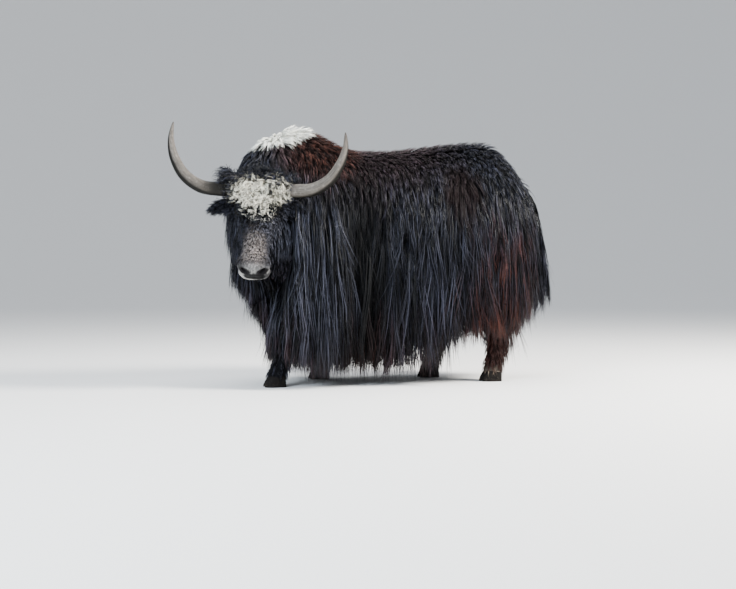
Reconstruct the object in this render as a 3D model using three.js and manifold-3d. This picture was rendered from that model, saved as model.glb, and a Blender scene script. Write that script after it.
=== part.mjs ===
// A long-haired domestic yak bull, standing in mid step with its head turned to its left.
// Units are millimetres. The floor is z = 0, the yak faces -Y, and its left side is +X.
// Each body part is a loft of rounded sections, and the long coat is made of bent, tapered locks.
import * as THREE from "three";
import { LoftGeometry } from "three/addons/geometries/LoftGeometry.js";
import { mergeVertices } from "three/addons/utils/BufferGeometryUtils.js";
import Module from "manifold-3d";

const wasm = await Module();
wasm.setup();

// Driving dimensions
const HORN_LINE = [270, -760, 1052]; // middle of the line between the two horn roots
const HEAD_TURN = 75; // degrees to the left of straight ahead
const HEAD_PITCH = 68; // degrees that the muzzle points below level
const HEAD_ROLL = 1.7; // degrees that the right horn is raised above the left one
const HORN_BASE = 38; // radius of a horn at its root
const HORN_RISE = { left: 0.96, right: 1.05 }; // the right horn curves up a little higher
const EYE_RADIUS = 21;
const EYE_PLACE = [97, -112, -16]; // left eye, in the frame of the head
const EAR_LENGTH = 162;
const HOOF_HEIGHT = 62;
const GAP = 0.35; // kept between parts that touch
const MIDDLE = [-40, 115]; // moves the middle of the whole animal to the origin

const TURN = Math.PI * 2;
const rad = THREE.MathUtils.degToRad;
const mix = THREE.MathUtils.lerp;
const vec = (p) => new THREE.Vector3(p[0], p[1], p[2]);
const LEFT = vec([1, 0, 0]);
const UP = vec([0, 0, 1]);
const AHEAD = vec([0, -1, 0]);
const BACK = vec([0, 1, 0]);
const DOWN = vec([0, 0, -1]);

// Draws from -1 to 1 that are the same in every build
let drawState = 7;
function draw() {
  drawState = (drawState * 1664525 + 1013904223) % 4294967296;
  return (drawState / 4294967296) * 2 - 1;
}

function toSolid(geometry) {
  const bare = geometry.index ? geometry.toNonIndexed() : geometry.clone();
  bare.deleteAttribute("normal");
  bare.deleteAttribute("uv");
  const merged = mergeVertices(bare, 1e-3);
  return new wasm.Manifold(
    new wasm.Mesh({
      numProp: 3,
      vertProperties: new Float32Array(merged.attributes.position.array),
      triVerts: new Uint32Array(merged.index.array),
    }),
  );
}

const join = (solids) => wasm.Manifold.union(solids);

// The biggest closed piece, without scraps or sealed hollows.
function largest(solid) {
  const pieces = solid.decompose().filter((piece) => piece.volume() > 0);
  return pieces.reduce((best, piece) => (piece.volume() > best.volume() ? piece : best));
}

function toMesh(name, solid, material) {
  const { vertProperties, triVerts } = largest(solid).getMesh();
  const geometry = new THREE.BufferGeometry();
  geometry.setAttribute("position", new THREE.BufferAttribute(vertProperties, 3));
  geometry.setIndex(new THREE.BufferAttribute(triVerts, 1));
  geometry.computeVertexNormals();
  const mesh = new THREE.Mesh(geometry, material);
  mesh.name = name;
  return mesh;
}

// A point of a rounded section: half wide each way, rise on the up side and drop on the other.
// A squareness of 2 is an ellipse, and more is boxier, on the up side and on the other side.
function onSection(centre, right, up, size, angle) {
  const c = Math.cos(angle);
  const s = Math.sin(angle);
  const power = 2 / (s > 0 ? size.upper : size.lower);
  const across = Math.sign(c) * Math.abs(c) ** power * size.half;
  const height = Math.sign(s) * Math.abs(s) ** power * (s > 0 ? size.rise : size.drop);
  return centre.clone().addScaledVector(right, across).addScaledVector(up, height);
}

// A body part: sections carried along a smooth line through its stations.
// Sections keep to the plane of up and right, or turn with the line where no right is given.
class Flesh {
  constructor(stations, up, right) {
    this.spans = stations.length - 1;
    this.line = new THREE.CatmullRomCurve3(stations.map((s) => vec(s.at)));
    this.sizes = new THREE.CatmullRomCurve3(stations.map((s) => vec(s.size)));
    this.shapes = new THREE.CatmullRomCurve3(stations.map((s) => vec([...(s.shape ?? [2, 2]), 0])));
    this.up = up;
    this.right = right;
  }

  frame(t) {
    const centre = this.line.getPoint(t);
    if (this.right) return { centre, right: this.right, up: this.up };
    const along = this.line.getTangent(t);
    const right = this.up.clone().cross(along).normalize();
    return { centre, right, up: along.clone().cross(right) };
  }

  point(t, angle, grow = 0) {
    const { centre, right, up } = this.frame(t);
    const [half, rise, drop] = this.sizes.getPoint(t).addScalar(grow).toArray();
    const [upper, lower] = this.shapes.getPoint(t).toArray();
    return onSection(centre, right, up, { half, rise, drop, upper, lower }, angle);
  }

  // How far along the line a given y is reached, where the line runs forwards.
  reaches(y) {
    let [low, high] = [0, 1];
    for (let i = 0; i < 24; i++) {
      const t = (low + high) / 2;
      if (this.line.getPoint(t).y > y) low = t;
      else high = t;
    }
    return low;
  }

  // The angle at which the left (side 1) or right (side -1) surface has the height z.
  angleAt(t, z, side) {
    let [low, high] = [-Math.PI / 2, Math.PI / 2];
    for (let i = 0; i < 24; i++) {
      const angle = (low + high) / 2;
      if (this.point(t, angle).z < z) low = angle;
      else high = angle;
    }
    return side > 0 ? low : Math.PI - low;
  }

  // The way off the surface at a place on it.
  normal(t, angle) {
    const step = 0.01;
    const ahead = this.point(Math.min(1, t + step), angle);
    const behind = this.point(Math.max(0, t - step), angle);
    const over = this.point(t, angle + step);
    const under = this.point(t, angle - step);
    return over.sub(under).cross(ahead.sub(behind)).normalize();
  }

  // A closed solid with the given number of rows in each span between stations.
  solid(rows, sides, grow = 0) {
    const last = rows * this.spans;
    const sections = [];
    for (let i = 0; i <= last; i++) {
      const t = i / last;
      const ring = [];
      const end = this.line.getTangent(t).multiplyScalar(i === 0 ? -grow : i === last ? grow : 0);
      for (let k = 0; k < sides; k++) ring.push(this.point(t, (k / sides) * TURN, grow).add(end));
      sections.push(ring);
    }
    return toSolid(new LoftGeometry(sections, { capStart: true, capEnd: true }));
  }
}

// Hair. A lock is a flat, three-sided, tapering strand along a path. Its width runs along aside.
// It is wide at first, and then narrows to its tip.
function lockSolid({ path, aside, width, thick }, grow) {
  const line = new THREE.CatmullRomCurve3(path);
  const last = path.length - 1;
  const sections = path.map((place, i) => {
    const s = i / last;
    const taper = Math.min(1, 0.7 + 1.2 * s) * (1 - 0.93 * s ** 2.2);
    const half = (width / 2) * taper + 9 * grow;
    const crest = thick * 0.7 * taper + 2 * grow;
    const under = thick * 0.3 * taper + 2 * grow;
    const along = line.getTangent(s);
    const right = aside.clone().addScaledVector(along, -aside.dot(along)).normalize();
    const up = along.clone().cross(right);
    const end = i === 0 ? -2 * grow : i === last ? 2 * grow : 0;
    const centre = place.clone().addScaledVector(along, end);
    return [
      centre.clone().addScaledVector(right, half).addScaledVector(up, -under),
      centre.clone().addScaledVector(up, crest),
      centre.clone().addScaledVector(right, -half).addScaledVector(up, -under),
    ];
  });
  return toSolid(new LoftGeometry(sections, { capStart: true, capEnd: true }));
}

const hairSolid = (locks, grow = 0) => join(locks.map((one) => lockSolid(one, grow)));

// A lock that is rooted in flesh at (t, angle), lies down its side as far as it faces up, and then
// hangs. Its end stands off by flare, leans back by sweep, and its middle bows by bow.
function drape(flesh, t, angle, kind) {
  const { length, width, thick, lift = 6, flare = 0, sweep = 0, bow = 0, sink = 24 } = kind;
  const steps = 4;
  const turn = Math.cos(angle) >= 0 ? -0.02 : 0.02;
  const off = flesh.normal(t, angle);
  let turned = angle;
  let here = flesh.point(t, angle);
  const path = [here.clone().addScaledVector(off, -sink)];
  for (let i = 1; i <= steps; i++) {
    const s = i / steps;
    const out = flesh.normal(t, turned);
    if (out.z > 0.08) {
      for (let gone = 0; gone < length / steps; ) {
        const next = flesh.point(t, turned + turn);
        gone += next.distanceTo(here);
        turned += turn;
        here = next;
      }
    } else {
      out.z = 0;
      out.normalize().multiplyScalar(flare / steps);
      here = here.clone().addScaledVector(DOWN, length / steps).add(out);
    }
    const stand = flesh.normal(t, turned).multiplyScalar(lift);
    stand.z = Math.max(stand.z, 0);
    const aside = sweep * s + bow * Math.sin(s * Math.PI);
    path.push(here.clone().add(stand).addScaledVector(BACK, aside));
  }
  return { path, aside: off.clone().cross(DOWN).normalize(), width, thick };
}

// A lock that leaves root along lie and bends over to fall along down
function strand(root, off, lie, down, kind) {
  const { length, width, thick, sink = 14, flare = 0, sweep = 0 } = kind;
  const steps = 3;
  const aside = kind.aside ?? off.clone().cross(down).normalize();
  const here = root.clone();
  const path = [root.clone().addScaledVector(off, -sink)];
  for (let i = 1; i <= steps; i++) {
    const s = i / steps;
    const way = lie.clone().lerp(down, s ** 0.7).normalize();
    here.addScaledVector(way, length / steps).addScaledVector(off, flare / steps);
    here.addScaledVector(aside, (sweep * s) / steps);
    path.push(here.clone());
  }
  return { path, aside, width, thick };
}

function ball(centre, radii, turn = [0, 0, 0], sides = 10) {
  const shape = new THREE.SphereGeometry(1, sides, Math.round(sides * 0.7));
  shape.scale(...radii);
  shape.rotateX(rad(turn[0])).rotateY(rad(turn[1])).rotateZ(rad(turn[2]));
  return toSolid(shape.translate(...centre));
}

// Colours of the coat, face, horns, hooves and eyes
const paint = (color, roughness) => new THREE.MeshStandardMaterial({ color, roughness, metalness: 0 });
const coat = paint(0x17161a, 0.75);
const face = paint(0x2a2725, 0.8);
const keratin = paint(0xa79c8c, 0.45);
const hoofHorn = paint(0x1d1a18, 0.5);
const eyeball = paint(0x120b07, 0.08);

// Trunk, from rump to brisket. Each station is its y, top, bottom, half width and widest height.
function trunkStation(y, top, bottom, half, widest, shape) {
  return { at: [0, y, widest], size: [half, top - widest, widest - bottom], shape };
}

const trunk = new Flesh(
  [
    trunkStation(868, 985, 865, 60, 925),
    trunkStation(846, 1085, 720, 170, 905),
    trunkStation(795, 1190, 575, 245, 880),
    trunkStation(710, 1290, 500, 296, 850, [2, 2.6]),
    trunkStation(590, 1338, 455, 322, 820, [2, 3]),
    trunkStation(410, 1330, 435, 334, 800, [2, 3.2]),
    trunkStation(110, 1290, 430, 338, 790, [2, 3.4]),
    trunkStation(-180, 1282, 440, 326, 800, [2, 3.2]),
    trunkStation(-330, 1342, 445, 312, 830, [1.9, 3]),
    trunkStation(-480, 1404, 455, 294, 850, [1.8, 3]),
    trunkStation(-600, 1394, 480, 262, 860, [1.8, 2.6]),
    trunkStation(-690, 1325, 560, 200, 880),
    trunkStation(-725, 1200, 640, 120, 890),
    trunkStation(-740, 1050, 760, 50, 900),
  ],
  UP,
  LEFT,
);

// Neck, from inside the shoulders round to the back of the head
function neckStation(x, y, top, bottom, half) {
  const middle = (top + bottom) / 2;
  return { at: [x, y, middle], size: [half, top - middle, middle - bottom], shape: [2, 2.3] };
}

const neck = new Flesh(
  [
    neckStation(-20, -520, 1345, 560, 225),
    neckStation(35, -605, 1358, 540, 235),
    neckStation(90, -680, 1320, 545, 222),
    neckStation(145, -730, 1240, 590, 195),
    neckStation(205, -768, 1165, 650, 160),
    neckStation(250, -790, 1105, 740, 115),
  ],
  UP,
  vec([Math.SQRT1_2, Math.SQRT1_2, 0]),
);

// Head, in its own frame: x to its left, -y towards the muzzle, z off the forehead
function headStation(y, top, bottom, half, shape) {
  const middle = top * 0.45 + bottom * 0.55;
  return { at: [0, y, middle], size: [half, top - middle, middle - bottom], shape };
}

const head = new Flesh(
  [
    headStation(100, -30, -160, 62),
    headStation(78, 8, -215, 104),
    headStation(30, 38, -235, 118, [2.3, 2]),
    headStation(-30, 46, -242, 121, [2.4, 2]),
    headStation(-90, 44, -248, 122, [2.5, 2]),
    headStation(-140, 36, -246, 112, [2.5, 2]),
    headStation(-200, 24, -228, 90, [2.4, 2]),
    headStation(-270, 10, -192, 72, [2.3, 2]),
    headStation(-340, 2, -164, 66, [2.3, 2.1]),
    headStation(-385, -2, -162, 76, [2.4, 2.3]),
    headStation(-425, -10, -162, 84, [2.5, 2.4]),
    headStation(-449, -32, -154, 74, [2.4, 2.4]),
    headStation(-462, -60, -134, 46),
  ],
  UP,
  LEFT,
);

const SIDES = { left: 1, right: -1 };

// The skull with its lids and the wings of its nostrils, before anything is cut
function headForm(grow = 0) {
  const [x, y, z] = EYE_PLACE;
  const wider = (radii) => radii.map((r) => r + grow);
  const pieces = [head.solid(1, 18, grow)];
  for (const side of Object.values(SIDES)) {
    pieces.push(ball([side * (x - 1), y, z], wider([27, 32, 28])));
    pieces.push(ball([side * 60, -408, -50], wider([27, 34, 27]), [20, 0, side * 14]));
  }
  return join(pieces);
}

function headSolid() {
  const [x, y, z] = EYE_PLACE;
  const removed = [mouthCut()];
  for (const side of Object.values(SIDES)) {
    const nostril = ball([side * 47, -450, -52], [13, 20, 9], [35, 0, side * -32]);
    const slit = ball([side * (x + 30), y - 4, z - 3], [30, 24, 12], [-12, 0, 0]);
    const socket = ball([side * x, y, z], Array(3).fill(EYE_RADIUS + GAP));
    removed.push(nostril, slit, socket);
  }
  return headForm().subtract(join(removed));
}

// The line of the mouth, a thin curved slit that runs round the front and back along each cheek
function mouthCut() {
  const slit = [];
  for (let i = -4; i <= 4; i++) {
    const s = i / 4;
    const across = 96 * Math.sin(s * 1.45);
    const y = -482 + 150 * (1 - Math.cos(s * 1.45));
    const z = -112 - 12 * s * s;
    const out = vec([Math.sin(s * 1.45), -Math.cos(s * 1.45), 0]);
    const lip = vec([across, y, z]);
    const inner = lip.clone().addScaledVector(out, -42);
    slit.push([
      inner.clone().addScaledVector(UP, 1),
      lip.clone().addScaledVector(UP, 4),
      lip.clone().addScaledVector(UP, -4),
      inner.clone().addScaledVector(UP, -1),
    ]);
  }
  return toSolid(new LoftGeometry(slit, { capStart: true, capEnd: true }));
}

// Horns, in the frame of the level head: out to the side, forwards and up in a lyre
function hornSolid(side, grow = 0) {
  const stations = [
    [70, 6, -8, 1.0],
    [130, -4, -4, 1.0],
    [205, -20, -6, 0.97],
    [295, -42, 4, 0.92],
    [378, -62, 56, 0.82],
    [432, -70, 142, 0.66],
    [455, -52, 226, 0.44],
    [455, -18, 300, 0.2],
    [453, -4, 325, 0.07],
  ];
  const horn = new Flesh(
    stations.map(([x, y, z, scale]) => {
      const radius = HORN_BASE * scale;
      const rise = z * (side > 0 ? HORN_RISE.left : HORN_RISE.right);
      return { at: [side * x, y, rise], size: [radius, radius * 0.92, radius * 0.92] };
    }),
    AHEAD.clone(),
  );
  return horn.solid(2, 8, grow);
}

// Ears, in the frame of the level head: a drooping leaf with a cup open to the front
function earLeaf(side, stations, sides, grow) {
  const ear = new Flesh(
    stations.map(([s, half, thick, ahead]) => ({
      at: [side * (88 + EAR_LENGTH * s), 34 - ahead, -84 - 30 * s * s],
      size: [half, thick, thick],
    })),
    AHEAD.clone(),
  );
  return ear.solid(1, sides, grow);
}

function earSolid(side, grow = 0) {
  const leaf = [
    [0, 20, 17, 0],
    [0.25, 34, 18, 3],
    [0.55, 42, 15, 6],
    [0.85, 30, 10, 4],
    [1.02, 6, 4, 0],
  ];
  const cup = [
    [0.22, 8, 8, 18],
    [0.38, 22, 14, 20],
    [0.58, 29, 13, 20],
    [0.8, 16, 9, 16],
    [0.9, 3, 3, 12],
  ];
  const body = earLeaf(side, leaf, 12, grow);
  return grow ? body : body.subtract(earLeaf(side, cup, 10, 0));
}

// Legs, from inside the trunk to the pastern. Each station is x, y, z, half width, front and back.
const legStation = ([x, y, z, half, front, back]) => ({ at: [x, y, z], size: [half, front, back] });

const legs = {
  foreleg_left: [
    [150, -450, 760, 95, 120, 120],
    [185, -520, 560, 84, 95, 105],
    [198, -572, 400, 66, 68, 74],
    [200, -596, 310, 64, 64, 62],
    [200, -612, 220, 52, 50, 52],
    [200, -628, 130, 50, 50, 54],
    [200, -640, 80, 54, 56, 54],
    [200, -650, 46, 52, 52, 44],
  ],
  foreleg_right: [
    [-150, -430, 760, 95, 120, 120],
    [-185, -430, 560, 84, 95, 105],
    [-200, -392, 400, 66, 68, 74],
    [-202, -368, 310, 64, 64, 62],
    [-203, -340, 220, 52, 50, 52],
    [-202, -318, 130, 50, 50, 54],
    [-200, -312, 80, 54, 56, 54],
    [-200, -318, 46, 52, 52, 44],
  ],
  hindleg_left: [
    [140, 560, 780, 110, 150, 150],
    [190, 520, 620, 104, 130, 130],
    [188, 556, 500, 80, 84, 92],
    [182, 630, 390, 60, 62, 66],
    [180, 622, 270, 50, 50, 54],
    [180, 606, 140, 50, 50, 54],
    [180, 598, 80, 54, 56, 54],
    [180, 590, 46, 52, 52, 44],
  ],
  hindleg_right: [
    [-130, 500, 780, 110, 150, 150],
    [-180, 430, 620, 104, 130, 130],
    [-178, 404, 500, 80, 84, 92],
    [-166, 424, 390, 60, 62, 66],
    [-158, 392, 270, 50, 50, 54],
    [-152, 350, 140, 50, 50, 54],
    [-150, 336, 80, 54, 56, 54],
    [-150, 328, 46, 52, 52, 44],
  ],
};

// One claw of a cloven hoof, standing flat on the floor under the pastern at x, y
function clawSolid(x, y, side, grow = 0) {
  const claw = new Flesh(
    [
      { at: [x + side * 25, y + 4, HOOF_HEIGHT], size: [21, 44, 42], shape: [2.2, 2.2] },
      { at: [x + side * 28, y + 1, HOOF_HEIGHT * 0.6], size: [24, 56, 46], shape: [2, 2.6] },
      { at: [x + side * 29, y, 0], size: [25, 68, 48], shape: [1.8, 2.8] },
    ],
    AHEAD.clone(),
    LEFT,
  );
  return claw.solid(1, 12, grow);
}

// Tail
const tail = new Flesh(
  [
    { at: [0, 800, 1150], size: [30, 30, 30] },
    { at: [0, 872, 1090], size: [40, 36, 36] },
    { at: [0, 905, 960], size: [48, 40, 40] },
    { at: [0, 925, 780], size: [62, 50, 46] },
    { at: [0, 935, 600], size: [66, 54, 46] },
    { at: [0, 930, 450], size: [46, 42, 36] },
    { at: [0, 920, 330], size: [8, 8, 8] },
  ],
  AHEAD.clone(),
  LEFT,
);

// Height of the tips of the long coat along the trunk
const HEM = [
  [-720, 330],
  [-600, 225],
  [-480, 120],
  [-370, 66],
  [110, 62],
  [190, 120],
  [300, 240],
  [600, 270],
  [880, 330],
];

function hemAt(y) {
  const i = Math.max(1, HEM.findIndex(([place]) => place >= y));
  const [[y0, z0], [y1, z1]] = [HEM[i - 1], HEM[i]];
  return mix(z0, z1, THREE.MathUtils.clamp((y - y0) / (y1 - y0), 0, 1));
}

// A row of locks along the trunk. Their roots start at the height root and end at the height tip,
// and every second lock lies over its neighbours.
function trunkRow(side, { from, to, count, root, tip, width, thick, lift, flare = 16 }) {
  const locks = [];
  for (let i = 0; i < count; i++) {
    const y = mix(from, to, (i + 0.5 + 0.22 * draw()) / count);
    const t = trunk.reaches(y);
    const top = root + 22 * draw();
    const end = tip === "hem" ? hemAt(y) + 20 * (1 + draw()) : tip + 45 * draw();
    const kind = { length: (top - end) * 1.02, lift: lift + (i % 2) * thick * 0.75, flare };
    kind.width = width * (1 + 0.15 * draw());
    kind.thick = thick * (1 + 0.12 * draw());
    kind.sweep = 20 + 26 * draw();
    kind.bow = 18 * draw();
    locks.push(drape(trunk, t, trunk.angleAt(t, top, side), kind));
  }
  return locks;
}

// Long coat of the trunk in tiers, each over the one below it
const COAT_TIERS = [
  { from: 810, to: -420, count: 11, root: 540, tip: "hem", width: 156, thick: 22, lift: 4 },
  { from: 800, to: -380, count: 9, root: 810, tip: 330, width: 170, thick: 24, lift: 16 },
  { from: 790, to: -340, count: 8, root: 1080, tip: 640, width: 180, thick: 26, lift: 20 },
  // beside the tail
  { from: 864, to: 825, count: 2, root: 760, tip: 340, width: 120, thick: 24, lift: 6 },
  { from: 866, to: 830, count: 2, root: 1020, tip: 600, width: 120, thick: 24, lift: 14 },
];
const SHOULDER_FAN = { from: -350, to: -665, count: 5, root: 1000, tip: "hem", width: 150, thick: 30 };

function trunkHair() {
  const locks = [];
  for (const side of [1, -1]) {
    for (const tier of COAT_TIERS) locks.push(...trunkRow(side, tier));
    locks.push(...trunkRow(side, { ...SHOULDER_FAN, lift: 26, flare: 42 }));
    // from the spine down over the sides
    const count = 7;
    for (let i = 0; i < count; i++) {
      const t = trunk.reaches(mix(705, -600, (i + 0.5 + 0.2 * draw()) / count));
      const angle = Math.PI / 2 - side * (0.14 + 0.05 * draw());
      const lift = 24 + (i % 2) * 14;
      const kind = { length: 270 + 25 * draw(), width: 205, thick: 28, lift, sweep: 50 };
      locks.push(drape(trunk, t, angle, kind));
    }
  }
  return locks;
}

// Ruff: long hair that falls from both sides and the underside of the neck. On the left it reaches
// down over the foreleg.
const RUFF = [
  { side: 1, from: 0.42, to: 0.94, root: 1000, tip: 380, width: 135, lift: 20, flare: 50 },
  { side: 1, from: 0.38, to: 0.98, root: 740, tip: 235, width: 125, lift: 10, flare: 44 },
  { side: -1, from: 0.12, to: 0.9, root: 960, tip: 500, width: 145, lift: 16, flare: 14 },
  { side: -1, from: 0.1, to: 0.94, root: 720, tip: 350, width: 125, lift: 4, flare: -10 },
];

function neckHair() {
  const locks = [];
  for (const { side, from, to, root, tip, width, lift, flare } of RUFF) {
    const count = 4;
    for (let i = 0; i < count; i++) {
      const t = mix(from, to, (i + 0.5 + 0.2 * draw()) / count);
      const top = root + 20 * draw();
      const kind = { length: top - tip - 35 * draw(), width, thick: 26, flare };
      kind.lift = lift + (i % 2) * 18;
      kind.sweep = -20 + 18 * draw();
      kind.bow = 14 * draw();
      locks.push(drape(neck, t, neck.angleAt(t, top, side), kind));
    }
  }
  // from the underside
  for (let i = 0; i < 4; i++) {
    const t = mix(0.35, 0.9, (i + 0.5) / 4);
    const angle = -Math.PI / 2 + 0.55 * (i % 2 ? 1 : -1) + 0.2 * draw();
    const off = neck.normal(t, angle);
    const kind = { length: 300 + 40 * draw(), width: 110, thick: 26, sink: 30, aside: neck.right };
    locks.push(strand(neck.point(t, angle), off, DOWN, DOWN, kind));
  }
  // from the crest down over the sides
  for (const side of [1, -1]) {
    for (let i = 0; i < 2; i++) {
      const t = mix(0.25, 0.65, i);
      const angle = Math.PI / 2 - side * (0.3 + 0.1 * draw());
      const kind = { length: 300 + 30 * draw(), width: 165, thick: 30, sweep: -20 };
      kind.lift = 24 + (i % 2) * 18;
      locks.push(drape(neck, t, angle, kind));
    }
  }
  return locks;
}

// Hair of a leg: short locks that lie down it, longest behind
function legHair(leg, heights) {
  const locks = [];
  for (const z of heights) {
    let t = 0;
    while (leg.line.getPoint(t).z > z && t < 1) t += 0.005;
    for (let i = 0; i < 2; i++) {
      const angle = -Math.PI / 2 + (i - 0.5) * 1.5 + 0.25 * draw();
      const off = leg.normal(t, angle);
      const kind = { length: 115 + 15 * draw(), width: 76, thick: 15, sink: 10, flare: 8 };
      kind.sweep = 8 * draw();
      locks.push(strand(leg.point(t, angle), off, DOWN, DOWN, kind));
    }
  }
  return locks;
}

function tailHair() {
  const locks = [];
  for (let row = 0; row < 3; row++) {
    for (let i = 0; i < 4; i++) {
      const t = 0.34 + row * 0.18;
      const angle = ((i + (row % 2) / 2) / 4) * TURN + 0.3 * draw();
      const off = tail.normal(t, angle);
      const kind = { length: 290 - row * 40 + 20 * draw(), width: 74, thick: 20, sink: 14, flare: 4 };
      kind.sweep = 14 * draw();
      locks.push(strand(tail.point(t, angle), off, DOWN, DOWN, kind));
    }
  }
  return locks;
}

// Curls of the forehead and the poll: rounded clumps, set close, out over the roots of the horns.
// Each row has its place along the head and the distance of its outer clumps from the middle.
const CURL_ROWS = [
  { y: -108, count: 3, reach: 58, size: 30 },
  { y: -56, count: 4, reach: 96, size: 36 },
  { y: 2, count: 5, reach: 142, size: 42 },
  { y: 58, count: 5, reach: 122, size: 44 },
];

function curls(grow = 0) {
  const clumps = [];
  for (const [row, { y, count, reach, size }] of CURL_ROWS.entries()) {
    for (let i = 0; i < count; i++) {
      const s = (2 * i) / (count - 1) - 1;
      const top = head.point(head.reaches(y), Math.PI / 2).z;
      const at = [s * reach, y + 9 * Math.sin(i * 3 + row), top - 34 * s * s];
      const whole = size + 4 * Math.sin(i * 5 + row * 2);
      const radii = [whole + grow, whole * 1.12 + grow, whole * 0.74 + grow];
      clumps.push(ball(at, radii, [20 * Math.sin(i + row), 0, 40 * Math.cos(i * 2)], 6));
    }
  }
  return join(clumps);
}

// Hair of the cheeks and the beard, in the frame of the head
function faceHair(down) {
  const locks = [];
  for (const side of [1, -1]) {
    for (let i = 0; i < 4; i++) {
      const t = head.reaches(mix(-70, -250, i / 3));
      const angle = side > 0 ? -0.25 : Math.PI + 0.25;
      const off = head.normal(t, angle);
      const lie = vec([0, -0.8, -0.6]);
      const kind = { length: 190 - 22 * i + 12 * draw(), width: 76, thick: 20, sink: 16, flare: 36 };
      locks.push(strand(head.point(t, angle), off, lie, down, kind));
    }
  }
  for (let i = 0; i < 4; i++) {
    const t = head.reaches(mix(-20, -290, i / 3));
    const angle = -Math.PI / 2 + 0.3 * (i % 2 ? 1 : -1);
    const kind = { length: 240 - 20 * i + 20 * draw(), width: 72, thick: 20, sink: 24 };
    locks.push(strand(head.point(t, angle), head.normal(t, angle), down, down, kind));
  }
  return locks;
}

// Assembly: the later parts are cut clear of the earlier ones
const nodes = new THREE.Group();
nodes.position.set(MIDDLE[0], MIDDLE[1], 0);
const levelHead = new THREE.Group();
levelHead.position.copy(vec(HORN_LINE));
levelHead.rotation.set(0, rad(HEAD_ROLL), rad(HEAD_TURN), "ZYX");
const tiltedHead = new THREE.Group();
tiltedHead.rotation.x = rad(HEAD_PITCH);
levelHead.add(tiltedHead);
levelHead.updateMatrixWorld(true);
nodes.add(levelHead);

const levelPlace = levelHead.matrixWorld.clone();
const tiltPlace = tiltedHead.matrix.clone();
const headPlace = levelPlace.clone().multiply(tiltPlace);
const moved = (solid, matrix) => solid.transform(matrix.elements);

// Horns, ears and eyes
const sockets = [];
for (const [word, side] of Object.entries(SIDES)) {
  levelHead.add(toMesh(`horn_${word}`, hornSolid(side), keratin));
  levelHead.add(toMesh(`ear_${word}`, earSolid(side), coat));
  sockets.push(hornSolid(side, GAP), earSolid(side, GAP));
  const [x, y, z] = EYE_PLACE;
  tiltedHead.add(toMesh(`eye_${word}`, ball([side * x, y, z], Array(3).fill(EYE_RADIUS)), eyeball));
}
const socketSpace = moved(join(sockets), tiltPlace.clone().invert());

// Head. Its hair keeps clear of the neck.
const downInHead = DOWN.clone().transformDirection(tiltPlace.clone().invert());
const faceLocks = faceHair(downInHead);
const neckCore = neck.solid(1, 14, GAP);
const neckLocks = neckHair();
const neckClear = join([neckCore, hairSolid(neckLocks, GAP)]);
const neckInHead = moved(neckClear, headPlace.clone().invert());
const headHair = join([curls(), hairSolid(faceLocks)]).subtract(neckInHead);
const [eyeX, eyeY, eyeZ] = EYE_PLACE;
const eyeViews = Object.values(SIDES).map((side) => {
  return ball([side * (eyeX + 30), eyeY - 4, eyeZ - 3], [30, 24, 12], [-12, 0, 0]);
});
const headWhole = join([headSolid(), headHair]).subtract(join([socketSpace, ...eyeViews]));
tiltedHead.add(toMesh("head", headWhole, face));
const headCore = moved(join([headForm(GAP), socketSpace]), headPlace);
const headHairSpace = moved(join([curls(GAP), hairSolid(faceLocks, GAP)]), headPlace);

// Legs and hooves
const trunkCore = trunk.solid(1, 18, GAP);
const legSpaces = [];
for (const [name, stations] of Object.entries(legs)) {
  const [x, y] = stations[stations.length - 1];
  const leg = new Flesh(stations.map(legStation), AHEAD.clone(), LEFT);
  const hair = legHair(leg, name.startsWith("fore") ? [300, 165] : [330, 175]);
  const spaces = [trunkCore, neckCore];
  for (const [word, side] of Object.entries(SIDES)) {
    nodes.add(toMesh(name.replace("leg", "hoof") + `_claw_${word}`, clawSolid(x, y, side), hoofHorn));
    spaces.push(clawSolid(x, y, side, GAP));
  }
  const whole = join([leg.solid(1, 10), hairSolid(hair)]).subtract(join(spaces));
  nodes.add(toMesh(name, whole, coat));
  legSpaces.push(leg.solid(1, 10, GAP), hairSolid(hair, GAP));
}
const legClear = join(legSpaces);

// Tail, neck and torso
const tailLocks = tailHair();
nodes.add(toMesh("tail", join([tail.solid(1, 8), hairSolid(tailLocks)]).subtract(trunkCore), coat));
const tailClear = join([tail.solid(1, 8, GAP), hairSolid(tailLocks, GAP)]);

const neckHairSolid = hairSolid(neckLocks).subtract(legClear);
const neckWhole = join([neck.solid(1, 14), neckHairSolid]);
nodes.add(toMesh("neck", neckWhole.subtract(join([trunkCore, headCore])), coat));

const trunkHairClear = join([legClear, tailClear, neckClear, headHairSpace]);
const trunkHairSolid = hairSolid(trunkHair()).subtract(trunkHairClear);
nodes.add(toMesh("torso", join([trunk.solid(1, 18), trunkHairSolid]).subtract(headCore), coat));

export default nodes;
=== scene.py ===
"""Looks of a long-haired domestic yak bull, standing in mid step with its head turned left.

Everything is in metres. The yak faces -Y, its left side is +X and the floor is z = 0.
All random draws come from one seeded source, so their order is part of the coat's shape.
"""

import math

import bmesh
import bpy
import numpy as np
from mathutils import Matrix, Vector, kdtree
from mathutils.bvhtree import BVHTree


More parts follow.
